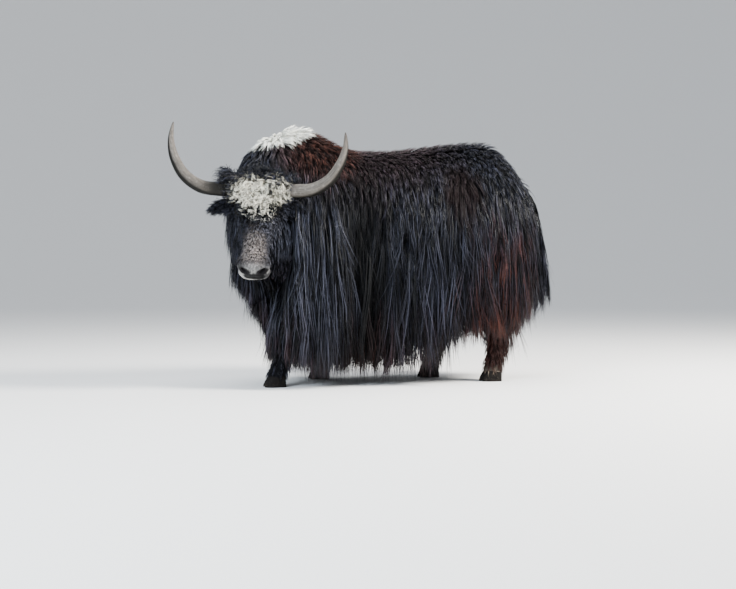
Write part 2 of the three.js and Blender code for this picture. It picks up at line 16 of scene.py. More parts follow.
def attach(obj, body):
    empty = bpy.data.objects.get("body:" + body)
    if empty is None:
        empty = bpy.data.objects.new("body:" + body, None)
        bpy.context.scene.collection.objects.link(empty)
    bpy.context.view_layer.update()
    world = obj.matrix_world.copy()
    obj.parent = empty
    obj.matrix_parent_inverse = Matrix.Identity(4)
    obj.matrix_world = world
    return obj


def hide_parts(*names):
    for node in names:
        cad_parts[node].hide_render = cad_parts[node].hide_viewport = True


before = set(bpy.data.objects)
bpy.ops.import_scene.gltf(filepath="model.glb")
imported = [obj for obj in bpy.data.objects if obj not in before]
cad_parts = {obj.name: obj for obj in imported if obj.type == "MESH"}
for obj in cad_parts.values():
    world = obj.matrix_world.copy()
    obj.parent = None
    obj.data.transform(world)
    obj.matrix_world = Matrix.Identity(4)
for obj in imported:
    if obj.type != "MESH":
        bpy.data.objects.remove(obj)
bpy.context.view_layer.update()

# Camera at the height of the belly, ahead of the left side
bpy.ops.object.camera_add(
    location=(6.237, -1.654, 0.616),
    rotation=(math.radians(88.88), 0, math.radians(75)),
)
camera = bpy.context.object
camera.data.lens = 56.25
bpy.context.scene.camera = camera

# Driving sizes. Places are given as if the middle were not yet moved to the origin.
MIDDLE = np.array([-0.040, 0.115, 0.0])
HORN_LINE = (0.270, -0.760, 1.052)
HEAD_TURN, HEAD_PITCH, HEAD_ROLL = 75, 68, 1.7
EYE_PLACE = np.array([0.097, -0.112, -0.016])
EYE_RADIUS, EYE_GAP = 0.021, 0.0003
CORNEA, CORNEA_RISE = 0.80, 0.0016
NOSTRIL_PLACE = (0.047, -0.450, -0.046)
EAR_ROOT, EAR_AHEAD, EAR_LEVEL = 0.088, 0.034, -0.084
EAR_LENGTH, EAR_DROOP = 0.162, 0.030
HORN_BASE = 0.038
HORN_RISE = {"left": 0.96, "right": 1.05}
DARK_BASE = {"left": 0.60, "right": 1.0}
# How dark each horn's outer and under side is made: partly its own colour, partly painted shade
DARK_EDGE = {"left": 0.86, "right": 1.0}
SKIN_VOXEL = 0.0065
TRUNK_GROWTH, HEAD_GROWTH, LIMB_GROWTH = -0.018, -0.002, -0.004
SIDES = {"left": 1, "right": -1}
LEFT, AHEAD, UP = np.eye(3) * (1, -1, 1)
DOWN = -UP
TURN_ROUND = 6.28

draw = np.random.default_rng(21)

level_place = (
    Matrix.Translation(Vector(HORN_LINE) + Vector(MIDDLE))
    @ Matrix.Rotation(math.radians(HEAD_TURN), 4, "Z")
    @ Matrix.Rotation(math.radians(HEAD_ROLL), 4, "Y")
)
head_place = level_place @ Matrix.Rotation(math.radians(HEAD_PITCH), 4, "X")


def moved(places, matrix):
    """Places after a matrix."""
    m = np.array(matrix)
    return np.asarray(places) @ m[:3, :3].T + m[:3, 3]


def turned(ways, matrix):
    """Directions after a matrix."""
    return np.asarray(ways) @ np.array(matrix)[:3, :3].T


def in_head(places):
    return moved(places, head_place.inverted())


def in_level(places):
    """Places in the frame of the head before its pitch."""
    return moved(places, level_place.inverted())


def unit(v):
    return v / np.maximum(np.linalg.norm(v, axis=-1, keepdims=True), 1e-9)


def ease(value, low, high):
    """0 below low and 1 above high, smooth in between."""
    s = np.clip((value - low) / (high - low), 0, 1)
    return s * s * (3 - 2 * s)


def by(value, table):
    """A size read from a table of value: size, straight in between."""
    return np.interp(value, list(table), list(table.values()))


def bell(value, width):
    """1 where the value is 0, and less away from it."""
    return np.exp(-((value / width) ** 2))


def mirrored(place, x):
    """A place of the left side, for each x on the side of that x."""
    side = np.where(x > 0, 1.0, -1.0)
    rest = [np.full_like(side, value) for value in place[1:]]
    return np.stack([side * place[0], *rest], axis=1)


def smooth_line(points, count):
    """Rows along a smooth line through the points, with count rows to each span."""
    p = np.array(points, float)
    p = np.vstack([2 * p[0] - p[1], p, 2 * p[-1] - p[-2]])
    rows = []
    for a, b, c, d in zip(p, p[1:], p[2:], p[3:]):
        spans = [max(np.linalg.norm(w - v) ** 0.5, 0.01) for v, w in ((a, b), (b, c), (c, d))]
        before, here, after = spans
        start = here * ((b - a) / before - (c - a) / (before + here) + (c - b) / here)
        end = here * ((c - b) / here - (d - b) / (here + after) + (d - c) / after)
        s = np.arange(count)[:, None] / count
        bend = 3 * (c - b) - 2 * start - end
        rows.append(b + start * s + bend * s**2 + (2 * (b - c) + start + end) * s**3)
    return np.vstack([*rows, p[-2:-1]])


def rounded_rings(stations, up, right=None, rows=6, sides=32, grow=0.0):
    """Rings of a form. A station is a place, half width, rise, drop and two squarenesses."""
    table = np.array([tuple(s) + (2, 2) * (len(s) < 8) for s in stations], float)
    places = smooth_line(table[:, :3], rows)
    sizes = smooth_line(table[:, 3:6], rows) + grow
    shapes = smooth_line(table[:, 6:], rows)
    along = unit(np.gradient(places, axis=0))
    angle = np.arange(sides) * 2 * math.pi / sides
    c, s = np.cos(angle), np.sin(angle)
    rings = []
    for place, way, (half, rise, drop), (upper, lower) in zip(places, along, sizes, shapes):
        side = right if right is not None else unit(np.cross(up, way))
        top = up if right is not None else np.cross(way, side)
        power = 2 / np.where(s > 0, upper, lower)
        across = np.sign(c) * np.abs(c) ** power * half
        height = np.sign(s) * np.abs(s) ** power * np.where(s > 0, rise, drop)
        rings.append(place + np.outer(across, side) + np.outer(height, top))
    return rings


def start_fresh():
    if bpy.context.object and bpy.context.object.mode != "OBJECT":
        bpy.ops.object.mode_set(mode="OBJECT")
    bpy.ops.object.select_all(action="DESELECT")


def take_up(*pieces):
    """Only these pieces are selected, and the first is active."""
    start_fresh()
    for piece in pieces:
        piece.select_set(True)
    bpy.context.view_layer.objects.active = pieces[0]


def open_up(piece, action="SELECT"):
    """Edit mode on a piece, with all or nothing of it selected."""
    take_up(piece)
    bpy.ops.object.mode_set(mode="EDIT")
    bpy.ops.mesh.select_all(action=action)


def close_up():
    """Faces turned outwards, and back to object mode."""
    bpy.ops.mesh.select_all(action="SELECT")
    bpy.ops.mesh.normals_make_consistent(inside=False)
    bpy.ops.object.mode_set(mode="OBJECT")


def loft(name, rings, matrix=None):
    """A closed form: a disc is extruded from ring to ring and shaped at each."""
    start_fresh()
    bpy.ops.mesh.primitive_circle_add(vertices=len(rings[0]), fill_type="NGON")
    form = bpy.context.object
    form.name = name
    open_up(form)
    for row, ring in enumerate(rings):
        if row:
            bpy.ops.mesh.extrude_region_move()
        shape = bmesh.from_edit_mesh(form.data)
        end = next(f for f in shape.faces if f.select)
        for vertex, place in zip(end.verts, moved(ring, matrix) if matrix else ring):
            vertex.co = place
        bmesh.update_edit_mesh(form.data)
    close_up()
    return form


def ball(place, radii, turn=(0, 0, 0), detail=24):
    """A rounded lump in the head's frame, with its place in its mesh."""
    start_fresh()
    bpy.ops.mesh.primitive_uv_sphere_add(segments=detail, ring_count=detail // 2, radius=1)
    lump = bpy.context.object
    laid = Matrix.LocRotScale(Vector(place), None, None)
    for angle, axis in zip(turn, "XYZ"):
        laid = laid @ Matrix.Rotation(math.radians(angle), 4, axis)
    lump.matrix_world = head_place @ laid @ Matrix.Diagonal((*radii, 1))
    bpy.ops.object.transform_apply(location=True, rotation=True, scale=True)
    return lump


def apply_modifier(piece, kind, **settings):
    take_up(piece)
    modifier = piece.modifiers.new(kind.lower(), kind)
    for key, value in settings.items():
        setattr(modifier, key, value)
    bpy.ops.object.modifier_apply(modifier=modifier.name)


def places_of(piece):
    places = np.empty(len(piece.data.vertices) * 3)
    piece.data.vertices.foreach_get("co", places)
    return places.reshape(-1, 3)


def set_places(piece, places):
    piece.data.vertices.foreach_set("co", np.asarray(places, float).ravel())
    piece.data.update()


def set_attribute(piece, name, vectors):
    attribute = piece.data.attributes.new(name, "FLOAT_VECTOR", "POINT")
    attribute.data.foreach_set("vector", vectors.ravel())


def with_middle(stations):
    return [(s[0] + MIDDLE[0], s[1] + MIDDLE[1], *s[2:]) for s in stations]


# Trunk, from rump to brisket: y, top, bottom, half width, height of the widest, squarenesses
TRUNK = [
    (0.868, 0.965, 0.855, 0.060, 0.910, 2, 2),
    (0.846, 1.058, 0.720, 0.170, 0.905, 2, 2),
    (0.795, 1.165, 0.575, 0.245, 0.880, 2, 2),
    (0.710, 1.274, 0.500, 0.296, 0.850, 2, 2.6),
    (0.590, 1.350, 0.455, 0.322, 0.820, 2, 3),
    (0.410, 1.342, 0.435, 0.334, 0.800, 2, 3.2),
    (0.110, 1.302, 0.430, 0.338, 0.790, 2, 3.4),
    (-0.020, 1.290, 0.436, 0.318, 0.800, 2, 3.2),
    (-0.190, 1.292, 0.440, 0.290, 0.830, 2, 2.8),
    (-0.330, 1.342, 0.445, 0.312, 0.830, 1.9, 3),
    (-0.480, 1.404, 0.455, 0.294, 0.850, 1.8, 3),
    (-0.600, 1.394, 0.480, 0.262, 0.860, 1.8, 2.6),
    (-0.690, 1.345, 0.560, 0.200, 0.880, 2, 2),
    (-0.725, 1.200, 0.640, 0.120, 0.890, 2, 2),
    (-0.740, 1.050, 0.760, 0.050, 0.900, 2, 2),
]
# Neck: x, y, top, bottom, half width
NECK = [
    (-0.020, -0.520, 1.345, 0.560, 0.225),
    (0.035, -0.605, 1.372, 0.540, 0.235),
    (0.090, -0.680, 1.338, 0.545, 0.222),
    (0.145, -0.730, 1.256, 0.590, 0.195),
    (0.205, -0.768, 1.165, 0.650, 0.160),
    (0.250, -0.790, 1.105, 0.740, 0.115),
]
# Head, in its own frame with -y towards the muzzle: y, top, bottom, half width, squarenesses
HEAD = [
    (0.100, -0.030, -0.160, 0.062, 2, 2),
    (0.078, 0.008, -0.215, 0.104, 2, 2),
    (0.030, 0.038, -0.235, 0.118, 2.3, 2),
    (-0.030, 0.046, -0.242, 0.121, 2.4, 2),
    (-0.090, 0.044, -0.248, 0.122, 2.5, 2),
    (-0.140, 0.036, -0.246, 0.112, 2.5, 2),
    (-0.200, 0.024, -0.228, 0.090, 2.4, 2),
    (-0.270, 0.010, -0.192, 0.072, 2.3, 2),
    (-0.340, 0.002, -0.164, 0.066, 2.3, 2.1),
    (-0.385, -0.002, -0.162, 0.076, 2.4, 2.3),
    (-0.425, -0.010, -0.162, 0.084, 2.5, 2.4),
    (-0.449, -0.032, -0.154, 0.074, 2.4, 2.4),
    (-0.462, -0.060, -0.134, 0.046, 2, 2),
]
# Sleeves of skin round the roots of the horns, in the level frame: x, y, z, half width, rise, drop
SLEEVE = [
    (0.040, 0.006, -0.012, 0.060, 0.064, 0.070),
    (0.100, 0.000, -0.010, 0.052, 0.054, 0.058),
    (0.145, -0.008, -0.006, 0.044, 0.043, 0.045),
    (0.162, -0.011, -0.005, 0.036, 0.035, 0.036),
]
# Ears: share of the length, half width, half thickness, how far ahead of a straight line
EAR = [
    (0, 0.020, 0.017, 0),
    (0.25, 0.034, 0.017, 0.003),
    (0.55, 0.041, 0.014, 0.006),
    (0.85, 0.029, 0.010, 0.004),
    (1.02, 0.007, 0.005, 0),
]
# Legs, from inside the trunk to the pastern: height, half width, front, back, then x and y of
# the left leg and x and y of the right one
LEG_FORMS = {
    "foreleg": [
        (0.760, 0.095, 0.120, 0.120, 0.150, -0.450, -0.150, -0.430),
        (0.560, 0.084, 0.095, 0.105, 0.185, -0.520, -0.185, -0.430),
        (0.400, 0.066, 0.068, 0.074, 0.198, -0.572, -0.200, -0.392),
        (0.310, 0.064, 0.064, 0.062, 0.200, -0.596, -0.202, -0.368),
        (0.220, 0.052, 0.050, 0.052, 0.200, -0.612, -0.203, -0.340),
        (0.130, 0.050, 0.050, 0.054, 0.200, -0.628, -0.202, -0.318),
        (0.080, 0.054, 0.056, 0.054, 0.200, -0.640, -0.200, -0.312),
        (0.046, 0.052, 0.052, 0.044, 0.200, -0.650, -0.200, -0.318),
    ],
    "hindleg": [
        (0.780, 0.110, 0.150, 0.150, 0.140, 0.560, -0.130, 0.500),
        (0.620, 0.104, 0.130, 0.130, 0.190, 0.520, -0.180, 0.430),
        (0.500, 0.080, 0.084, 0.092, 0.188, 0.556, -0.178, 0.404),
        (0.390, 0.060, 0.062, 0.066, 0.182, 0.630, -0.166, 0.424),
        (0.270, 0.050, 0.050, 0.054, 0.180, 0.622, -0.158, 0.392),
        (0.140, 0.050, 0.050, 0.054, 0.180, 0.606, -0.152, 0.350),
        (0.080, 0.054, 0.056, 0.054, 0.180, 0.598, -0.150, 0.336),
        (0.046, 0.052, 0.052, 0.044, 0.180, 0.590, -0.150, 0.328),
    ],
}
LEGS = {}
for limb, rows in LEG_FORMS.items():
    LEGS[limb + "_left"] = [(*row[4:6], *row[:4]) for row in rows]
    LEGS[limb + "_right"] = [(*row[6:8], *row[:4]) for row in rows]
TAIL = [
    (0, 0.795, 1.150, 0.030, 0.030, 0.030),
    (0, 0.855, 1.085, 0.038, 0.034, 0.034),
    (0, 0.886, 0.960, 0.038, 0.032, 0.032),
    (0, 0.912, 0.780, 0.034, 0.030, 0.030),
    (0, 0.930, 0.640, 0.024, 0.022, 0.022),
    (0, 0.932, 0.560, 0.010, 0.010, 0.010),
]
# Lumps of lid, wing of the nostril and brow, on each side: place, radii, turn
LUMPS = [
    ((0.095, -0.112, -0.016), (0.027, 0.033, 0.028), (0, 0, 0)),
    ((0.060, -0.408, -0.050), (0.027, 0.034, 0.027), (20, 0, 14)),
    ((0.084, -0.108, 0.010), (0.026, 0.040, 0.014), (0, 18, 0)),
]


def station(x, y, top, low, half, upper, lower, shares=(0.5, 0.5)):
    """A station given by its top and bottom, with its widest place between them."""
    wide = top * shares[0] + low * shares[1]
    return x, y, wide, half, top - wide, wide - low, upper, lower


def flesh_forms():
    """The closed forms that the skin is drawn over."""
    trunk = []
    for y, top, low, half, wide, *shape in TRUNK:
        trunk.append((0, y, wide, half, top - wide, wide - low, *shape))
    rings = rounded_rings(with_middle(trunk), UP, LEFT, grow=TRUNK_GROWTH)
    forms = [loft("trunk", rings)]
    neck = [station(*row, 2, 2.3) for row in NECK]
    rings = rounded_rings(with_middle(neck), UP, unit(LEFT - AHEAD), grow=TRUNK_GROWTH)
    forms.append(loft("neck_form", rings))
    head = [station(0, *row, shares=(0.45, 0.55)) for row in HEAD]
    rings = rounded_rings(head, UP, LEFT, grow=HEAD_GROWTH)
    forms.append(loft("head_form", rings, head_place))
    for side in SIDES.values():
        rings = rounded_rings([(side * x, *rest) for x, *rest in SLEEVE], AHEAD, sides=24)
        forms.append(loft("sleeve", rings, level_place))
    for name, stations in LEGS.items():
        rings = rounded_rings(with_middle(stations), AHEAD, LEFT, sides=24, grow=LIMB_GROWTH)
        forms.append(loft(name + "_form", rings))
    rings = rounded_rings(with_middle(TAIL), AHEAD, LEFT, sides=20, grow=LIMB_GROWTH)
    forms.append(loft("tail_form", rings))
    for side in SIDES.values():
        for (x, y, z), radii, (pitch, roll, yaw) in LUMPS:
            forms.append(ball((side * x, y, z), radii, (pitch, side * roll, side * yaw)))
        leaf = []
        for s, half, thick, ahead in EAR:
            x, z = side * (EAR_ROOT + EAR_LENGTH * s), EAR_LEVEL - EAR_DROOP * s * s
            leaf.append((x, EAR_AHEAD - ahead, z, half, thick, thick))
        rings = rounded_rings(leaf, AHEAD, sides=20, rows=5)
        forms.append(loft("ear_form", rings, level_place))
    return forms


def head_part(places, back=0.03):
    """Which places are on the head, ahead of the neck."""
    x, y, z = in_head(places).T
    return (np.abs(x) < 0.185) & (y < back) & (y > -0.55) & (z > -0.30) & (z < 0.12)


def along_ear(places):
    """Places in the level frame, the share of the ear's length, and the height over its middle."""
    level = in_level(places)
    s = (np.abs(level[:, 0]) - EAR_ROOT) / EAR_LENGTH
    return level, s, level[:, 2] - EAR_LEVEL + EAR_DROOP * s * s


def ear_part(places):
    """Which places are on an ear."""
    level, s, height = along_ear(places)
    return (s > 0.18) & (s < 1.2) & (np.abs(height) < 0.06) & (np.abs(level[:, 1] - 0.03) < 0.03)


def make_skin():
    """One skin over all the flesh forms, with coarser faces where long hair hides it."""
    forms = flesh_forms()
    take_up(*forms)
    bpy.ops.object.join()
    skin = bpy.context.object
    skin.name = skin.data.name = "skin"
    apply_modifier(skin, "REMESH", mode="VOXEL", voxel_size=SKIN_VOXEL)
    apply_modifier(skin, "SMOOTH", factor=0.5, iterations=4)
    group = skin.vertex_groups.new(name="hidden")
    places = places_of(skin)
    hidden = ~head_part(places) & ~ear_part(places) & (places[:, 2] > 0.30)
    group.add(np.flatnonzero(hidden).tolist(), 1.0, "REPLACE")
    apply_modifier(skin, "DECIMATE", ratio=1 - 0.88 * hidden.mean(), vertex_group="hidden")
    skin.vertex_groups.clear()
    # finer faces round the eyes and on the muzzle
    open_up(skin, "DESELECT")
    inverse = head_place.inverted()
    for face in bmesh.from_edit_mesh(skin.data).faces:
        x, y, z = inverse @ face.calc_center_median()
        muzzle = abs(x) < 0.13 and -0.6 < y < -0.34 and -0.2 < z < 0.1
        eye = math.dist((abs(x), y, z), EYE_PLACE) < 0.055
        if muzzle or eye:
            face.select_set(True)
    bpy.ops.mesh.subdivide(number_cuts=1, smoothness=0)
    bpy.ops.object.mode_set(mode="OBJECT")
    return skin


def shape_lids(h):
    """The skin round each eye becomes two lids with an almond opening."""
    off = h - mirrored(EYE_PLACE, h[:, 0])
    far = np.linalg.norm(off, axis=1)
    way = off / far[:, None]
    outer = (way[:, 0] * np.where(h[:, 0] > 0, 1.0, -1.0) > 0.15) & (far < 0.045)
    a, b = way[:, 1], way[:, 2] - 0.12 * way[:, 1]
    opening = 0.78
    almond = np.abs(b - 0.04) / np.maximum(0.46 * (1 - (a / opening) ** 2), 1e-3)
    inside = outer & (almond < 1) & (np.abs(a) < opening)
    rim = outer & ~inside & (almond < 1.9) & (np.abs(a) < 0.95)
    lid = far.copy()
    lid[inside] = EYE_RADIUS - 0.0045
    lid[rim] = np.maximum(far[rim] - 0.002, EYE_RADIUS + 0.0026)
    return h + (lid - far)[:, None] * way


def shape_nostrils(h):
    """Slanted, comma-like hollows on both sides of the pad."""
    turn, half, tall, long = math.radians(32), 0.019, 0.0105, 0.035
    d = h - mirrored(NOSTRIL_PLACE, h[:, 0])
    out = d[:, 0] * np.where(h[:, 0] > 0, 1.0, -1.0)
    dx = out * math.cos(turn) + d[:, 2] * math.sin(turn)
    dz = -out * math.sin(turn) + d[:, 2] * math.cos(turn)
    deep = 1 - np.sqrt((dx / half) ** 2 + (dz / tall) ** 2 + (d[:, 1] / long) ** 2)
    deep = np.clip(deep, 0, 1) ** 0.6
    h[:, 1] += 0.030 * deep
    h[:, 2] -= 0.004 * deep
    return h


def shape_mouth(h):
    """A closed line round the muzzle, with fuller lips on both sides of it."""
    s = np.arcsin(np.clip(h[:, 0] / 0.096, -0.99, 0.99)) / 1.45
    line = -0.112 - 0.012 * s * s
    near = bell(h[:, 2] - line, 0.0042) * (h[:, 1] < -0.345)
    centre = np.stack([np.zeros_like(s), np.full_like(s, -0.36), line], 1)
    inward = unit((centre - h) * (1, 1, 0))
    h += inward * (0.009 * near)[:, None]
    lips = bell(np.abs(h[:, 2] - line) - 0.012, 0.007) * (h[:, 1] < -0.37)
    return h - inward * (0.0028 * lips)[:, None]


def shape_ears(places):
    """A cup in the front of each ear."""
    level, s, height = along_ear(places)
    bowl = np.clip(1 - (height / 0.036) ** 2 - ((s - 0.55) / 0.42) ** 2, 0, 1)
    front = ear_part(places) & (level[:, 1] < EAR_AHEAD)
    level[:, 1] += np.where(front, 0.016 * np.sqrt(bowl), 0)
    return moved(level, level_place)


skin = make_skin()
skin.data.uv_layers.new(name="OFBake")
open_up(skin)
bpy.ops.uv.smart_project(angle_limit=math.radians(66), island_margin=0.002)
bpy.ops.object.mode_set(mode="OBJECT")
face = shape_mouth(shape_nostrils(shape_lids(in_head(places_of(skin)))))
set_places(skin, shape_ears(moved(face, head_place)))
bpy.ops.object.shade_smooth()

# Horns, in the level frame: x, y, z, share of the base radius
HORN = [
    (0.060, 0.006, -0.008, 1.06),
    (0.130, -0.004, -0.004, 1.0),
    (0.205, -0.020, -0.006, 0.97),
    (0.295, -0.042, 0.004, 0.92),
    (0.378, -0.062, 0.056, 0.82),
    (0.432, -0.070, 0.142, 0.66),
    (0.455, -0.052, 0.226, 0.44),
    (0.455, -0.018, 0.300, 0.2),
    (0.453, -0.005, 0.323, 0.07),
]
HORN_FLATNESS = 0.94
HORN_RIPPLE, HORN_WEAR = 0.016, 0.006
COLLAR_ROW, COLLAR = 12, 0.03
# The way out and down from a horn, where it is darker: partly its own darker keratin, partly
# painted shade
HORN_OUTER = (0.75, 0.15, -0.65)
# A claw, from the coronet to the sole: x, y and z, half width, front, back, squarenesses
CLAW = [
    (0.024, 0.006, 0.063, 0.016, 0.030, 0.030, 2.2, 2.2),
    (0.025, 0.004, 0.059, 0.0208, 0.043, 0.041, 2.2, 2.2),
    (0.0265, 0.003, 0.04836, 0.0222, 0.050, 0.044, 2.1, 2.4),
    (0.028, 0.001, 0.031, 0.0242, 0.058, 0.0465, 2, 2.6),
    (0.0285, 0, 0.0124, 0.0248, 0.065, 0.0478, 1.9, 2.7),
    (0.029, 0, 0.003, 0.025, 0.0678, 0.048, 1.8, 2.8),
    (0.029, 0, 0.0, 0.0235, 0.0655, 0.0462, 1.8, 2.8),
]


def stands_for(piece, node):
    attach(piece, "root")
    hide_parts(node)
    return piece


def make_horn(word, side):
    """A ringed sheath, with its way along and round the horn kept for its colours."""
    stations = []
    for x, y, z, share in HORN:
        radius = HORN_BASE * share
        flat = radius * HORN_FLATNESS
        stations.append((side * x, y, z * HORN_RISE[word], radius, flat, flat))
    rings = rounded_rings(stations, AHEAD, rows=14, sides=28)
    wear = np.random.default_rng(5 + side)
    for i, ring in enumerate(rings):
        centre = ring.mean(axis=0)
        s = i / len(rings)
        ripple = 1 + HORN_RIPPLE * math.sin(i * 1.9) * max(0, 1 - 2.4 * s)
        ripple += HORN_WEAR * wear.standard_normal() * (1 - s)
        if i == COLLAR_ROW:
            ripple += COLLAR
        rings[i] = centre + (ring - centre) * ripple
    horn = loft(f"horn_{word}_sheath", rings, level_place)
    bpy.ops.object.shade_smooth()
    centres = moved([ring.mean(axis=0) for ring in rings], level_place)
    places = places_of(horn)
    row = np.linalg.norm(places[:, None] - centres[None], axis=2).argmin(axis=1)
    off = unit(places - centres[row])
    # edge: how far the surface faces out and down, where the horn is darker, partly its own colour
    # and partly painted shade
    x, y, z = HORN_OUTER
    edge = (off @ unit(turned((side * x, y, z), level_place)) + 1) / 2 * DARK_EDGE[word]
    ahead, up = np.array(level_place)[:3, 1:3].T
    around = np.arctan2(off @ ahead, off @ up) / TURN_ROUND
    reach = DARK_BASE[word] * row / len(rings) + 1 - DARK_BASE[word]
    set_attribute(horn, "horn_way", np.stack([reach, edge, around], axis=1))
    return stands_for(horn, f"horn_{word}")


def make_eye(word, side):
    """An eyeball with a slightly raised cornea, its middle and the way that it looks."""
    place = EYE_PLACE * (side, 1, 1)
    eye = ball(place, [EYE_RADIUS - EYE_GAP] * 3, detail=40)
    eye.name = f"eye_{word}_ball"
    places = places_of(eye)
    centre = np.array(head_place @ Vector(place))
    out = unit(turned((side, -0.18, 0.05), head_place))
    front = np.clip(((places - centre) @ out) / EYE_RADIUS - CORNEA, 0, 1) / 0.20
    set_places(eye, places + out * (CORNEA_RISE * front)[:, None])
    bpy.ops.object.shade_smooth()
    return stands_for(eye, f"eye_{word}"), centre, out


def make_claw(leg, word, side):
    """One claw of a hoof, with shallow growth rings."""
    x, y = np.array(LEGS[leg][-1][:2]) + MIDDLE[:2]
    stations = [(x + side * out, y + back, *rest) for out, back, *rest in CLAW]
    rings = rounded_rings(stations, AHEAD, LEFT, rows=4, sides=32)
    for i, ring in enumerate(rings[4:-4]):
        centre = ring.mean(axis=0)
        ring[:, :2] = (centre + (ring - centre) * (1 + 0.008 * math.sin(i * 1.7)))[:, :2]
    node = leg.replace("leg", "hoof") + "_claw_" + word
    claw = loft(node + "_horn", rings)
    bpy.ops.object.shade_smooth_by_angle(angle=math.radians(40))
    return stands_for(claw, node)


horns = [make_horn(word, side) for word, side in SIDES.items()]
eyes = [make_eye(word, side) for word, side in SIDES.items()]
claws = [make_claw(leg, word, side) for leg in LEGS for word, side in SIDES.items()]


class Nodes:
    """The node tree of a finish or a group, with short ways to add to it."""

    def __init__(self, tree):
        self.tree = tree

    def fill(self, node, links):
        """Inputs are linked to a socket or set to a value."""
        for key, value in links.items():
            if isinstance(value, bpy.types.NodeSocket):
                self.tree.links.new(value, node.inputs[key])
            else:
                node.inputs[key].default_value = value

    def add(self, kind, links=None, **settings):
        node = self.tree.nodes.new("ShaderNode" + kind)
        for key, value in settings.items():
            setattr(node, key, value)
        self.fill(node, links or {})
        return node

    def mix(self, factor, first, second, way="MIX"):
        links = {0: factor}
        for key, value in ((6, first), (7, second)):
            links[key] = (*value, 1) if isinstance(value, tuple) else value
        return self.add("Mix", links, data_type="RGBA", blend_type=way).outputs[2]

    def ranged(self, value, low, high, start=0.0, end=1.0):
        """A value eased from low and high to start and end."""
        links = {"Value": value, "From Min": low, "From Max": high, "To Min": start, "To Max": end}
        return self.add("MapRange", links, interpolation_type="SMOOTHSTEP").outputs[0]

    def maths(self, operation, *values):
        return self.add("Math", dict(enumerate(values)), operation=operation).outputs[0]

    def times(self, first, second):
        return self.maths("MULTIPLY", first, second)

    def plus(self, first, second):
        return self.maths("ADD", first, second)

    def most(self, first, second):
        return self.maths("MAXIMUM", first, second)

    def object_place(self):
        return self.add("TexCoord").outputs["Object"]

    def attribute(self, name):
        return self.add("Attribute", attribute_name=name).outputs["Vector"]

    def speckle(self, place, scale, detail=3, rough=0.6, stretch=(1, 1, 1)):
        vector = self.add("Mapping", {"Vector": place, "Scale": stretch}).outputs[0]
        links = {"Vector": vector, "Scale": scale, "Detail": detail, "Roughness": rough}
        return self.add("TexNoise", links).outputs[0]

    def spot(self, place, centre, radii, ragged, soft, wild, turn):
        """A soft-edged, ragged marking that is 1 inside an ellipsoid."""
        links = {"Vector": place, "Location": centre, "Rotation": turn, "Scale": radii}
        local = self.add("Mapping", links, vector_type="TEXTURE").outputs[0]
        far = self.add("VectorMath", {0: local}, operation="LENGTH").outputs["Value"]
        edge = self.maths("MULTIPLY_ADD", ragged, wild, -wild / 2)
        return self.ranged(self.plus(far, edge), 1 - soft, 1 + soft, 1.0, 0.0)


class Finish(Nodes):
    """A material and its shader. Numbers alike all over are set on the shader's own sockets."""

    def __init__(self, name):
        self.material = bpy.data.materials.new(name)
        self.material.use_nodes = True
        super().__init__(self.material.node_tree)
        self.shader = self.tree.nodes["Principled BSDF"]

    def bump(self, height, strength, distance):
        links = {"Height": height, "Strength": strength, "Distance": distance}
        return self.add("Bump", links).outputs[0]

    def done(self, colour, roughness, specular=0.5, **more):
        links = {"Base Color": colour, "Roughness": roughness, "Specular IOR Level": specular}
        links.update({key.replace("_", " "): value for key, value in more.items()})
        self.fill(self.shader, links)
        return self.material


# Markings: middle, radii, softness and raggedness of the edge. Those on the head are in its frame.
BODY_MARKS = {
    # mane: carries a painted bluish sky sheen on the lit mass of the mane
    "mane": ((0.26, -0.60, 0.80), (0.34, 0.29, 0.44), 0.4, 0.6),
    # hollow: the recess behind the mane, where the coat is painted near black as shade
    "hollow": ((0.30, -0.19, 0.66), (0.32, 0.150, 0.52), 0.4, 0.3),
    "rust": ((0.12, -0.40, 1.27), (0.32, 0.22, 0.13), 0.5, 1.0),
    "ridge": ((0.02, -0.10, 1.27), (0.36, 0.42, 0.18), 0.6, 1.2),
    "hip": ((0.30, 0.385, 1.13), (0.16, 0.105, 0.11), 0.4, 0.7),
    "thigh": ((0.25, 0.62, 0.72), (0.40, 0.22, 0.30), 0.4, 1.0),
    "skirt": ((0.0, 0.05, 0.50), (0.60, 1.0, 0.26), 0.5, 1.2),
    "brown_leg": ((-0.155, 0.37, 0.22), (0.13, 0.17, 0.24), 0.4, 0.5),
    "red_leg": ((0.180, 0.61, 0.20), (0.13, 0.15, 0.24), 0.4, 0.5),
    "pastern": ((0.180, 0.598, 0.052), (0.09, 0.10, 0.036), 0.5, 1.4),
    "saddle": ((0.06, -0.62, 1.392), (0.24, 0.200, 0.088), 0.10, 0.35),
}
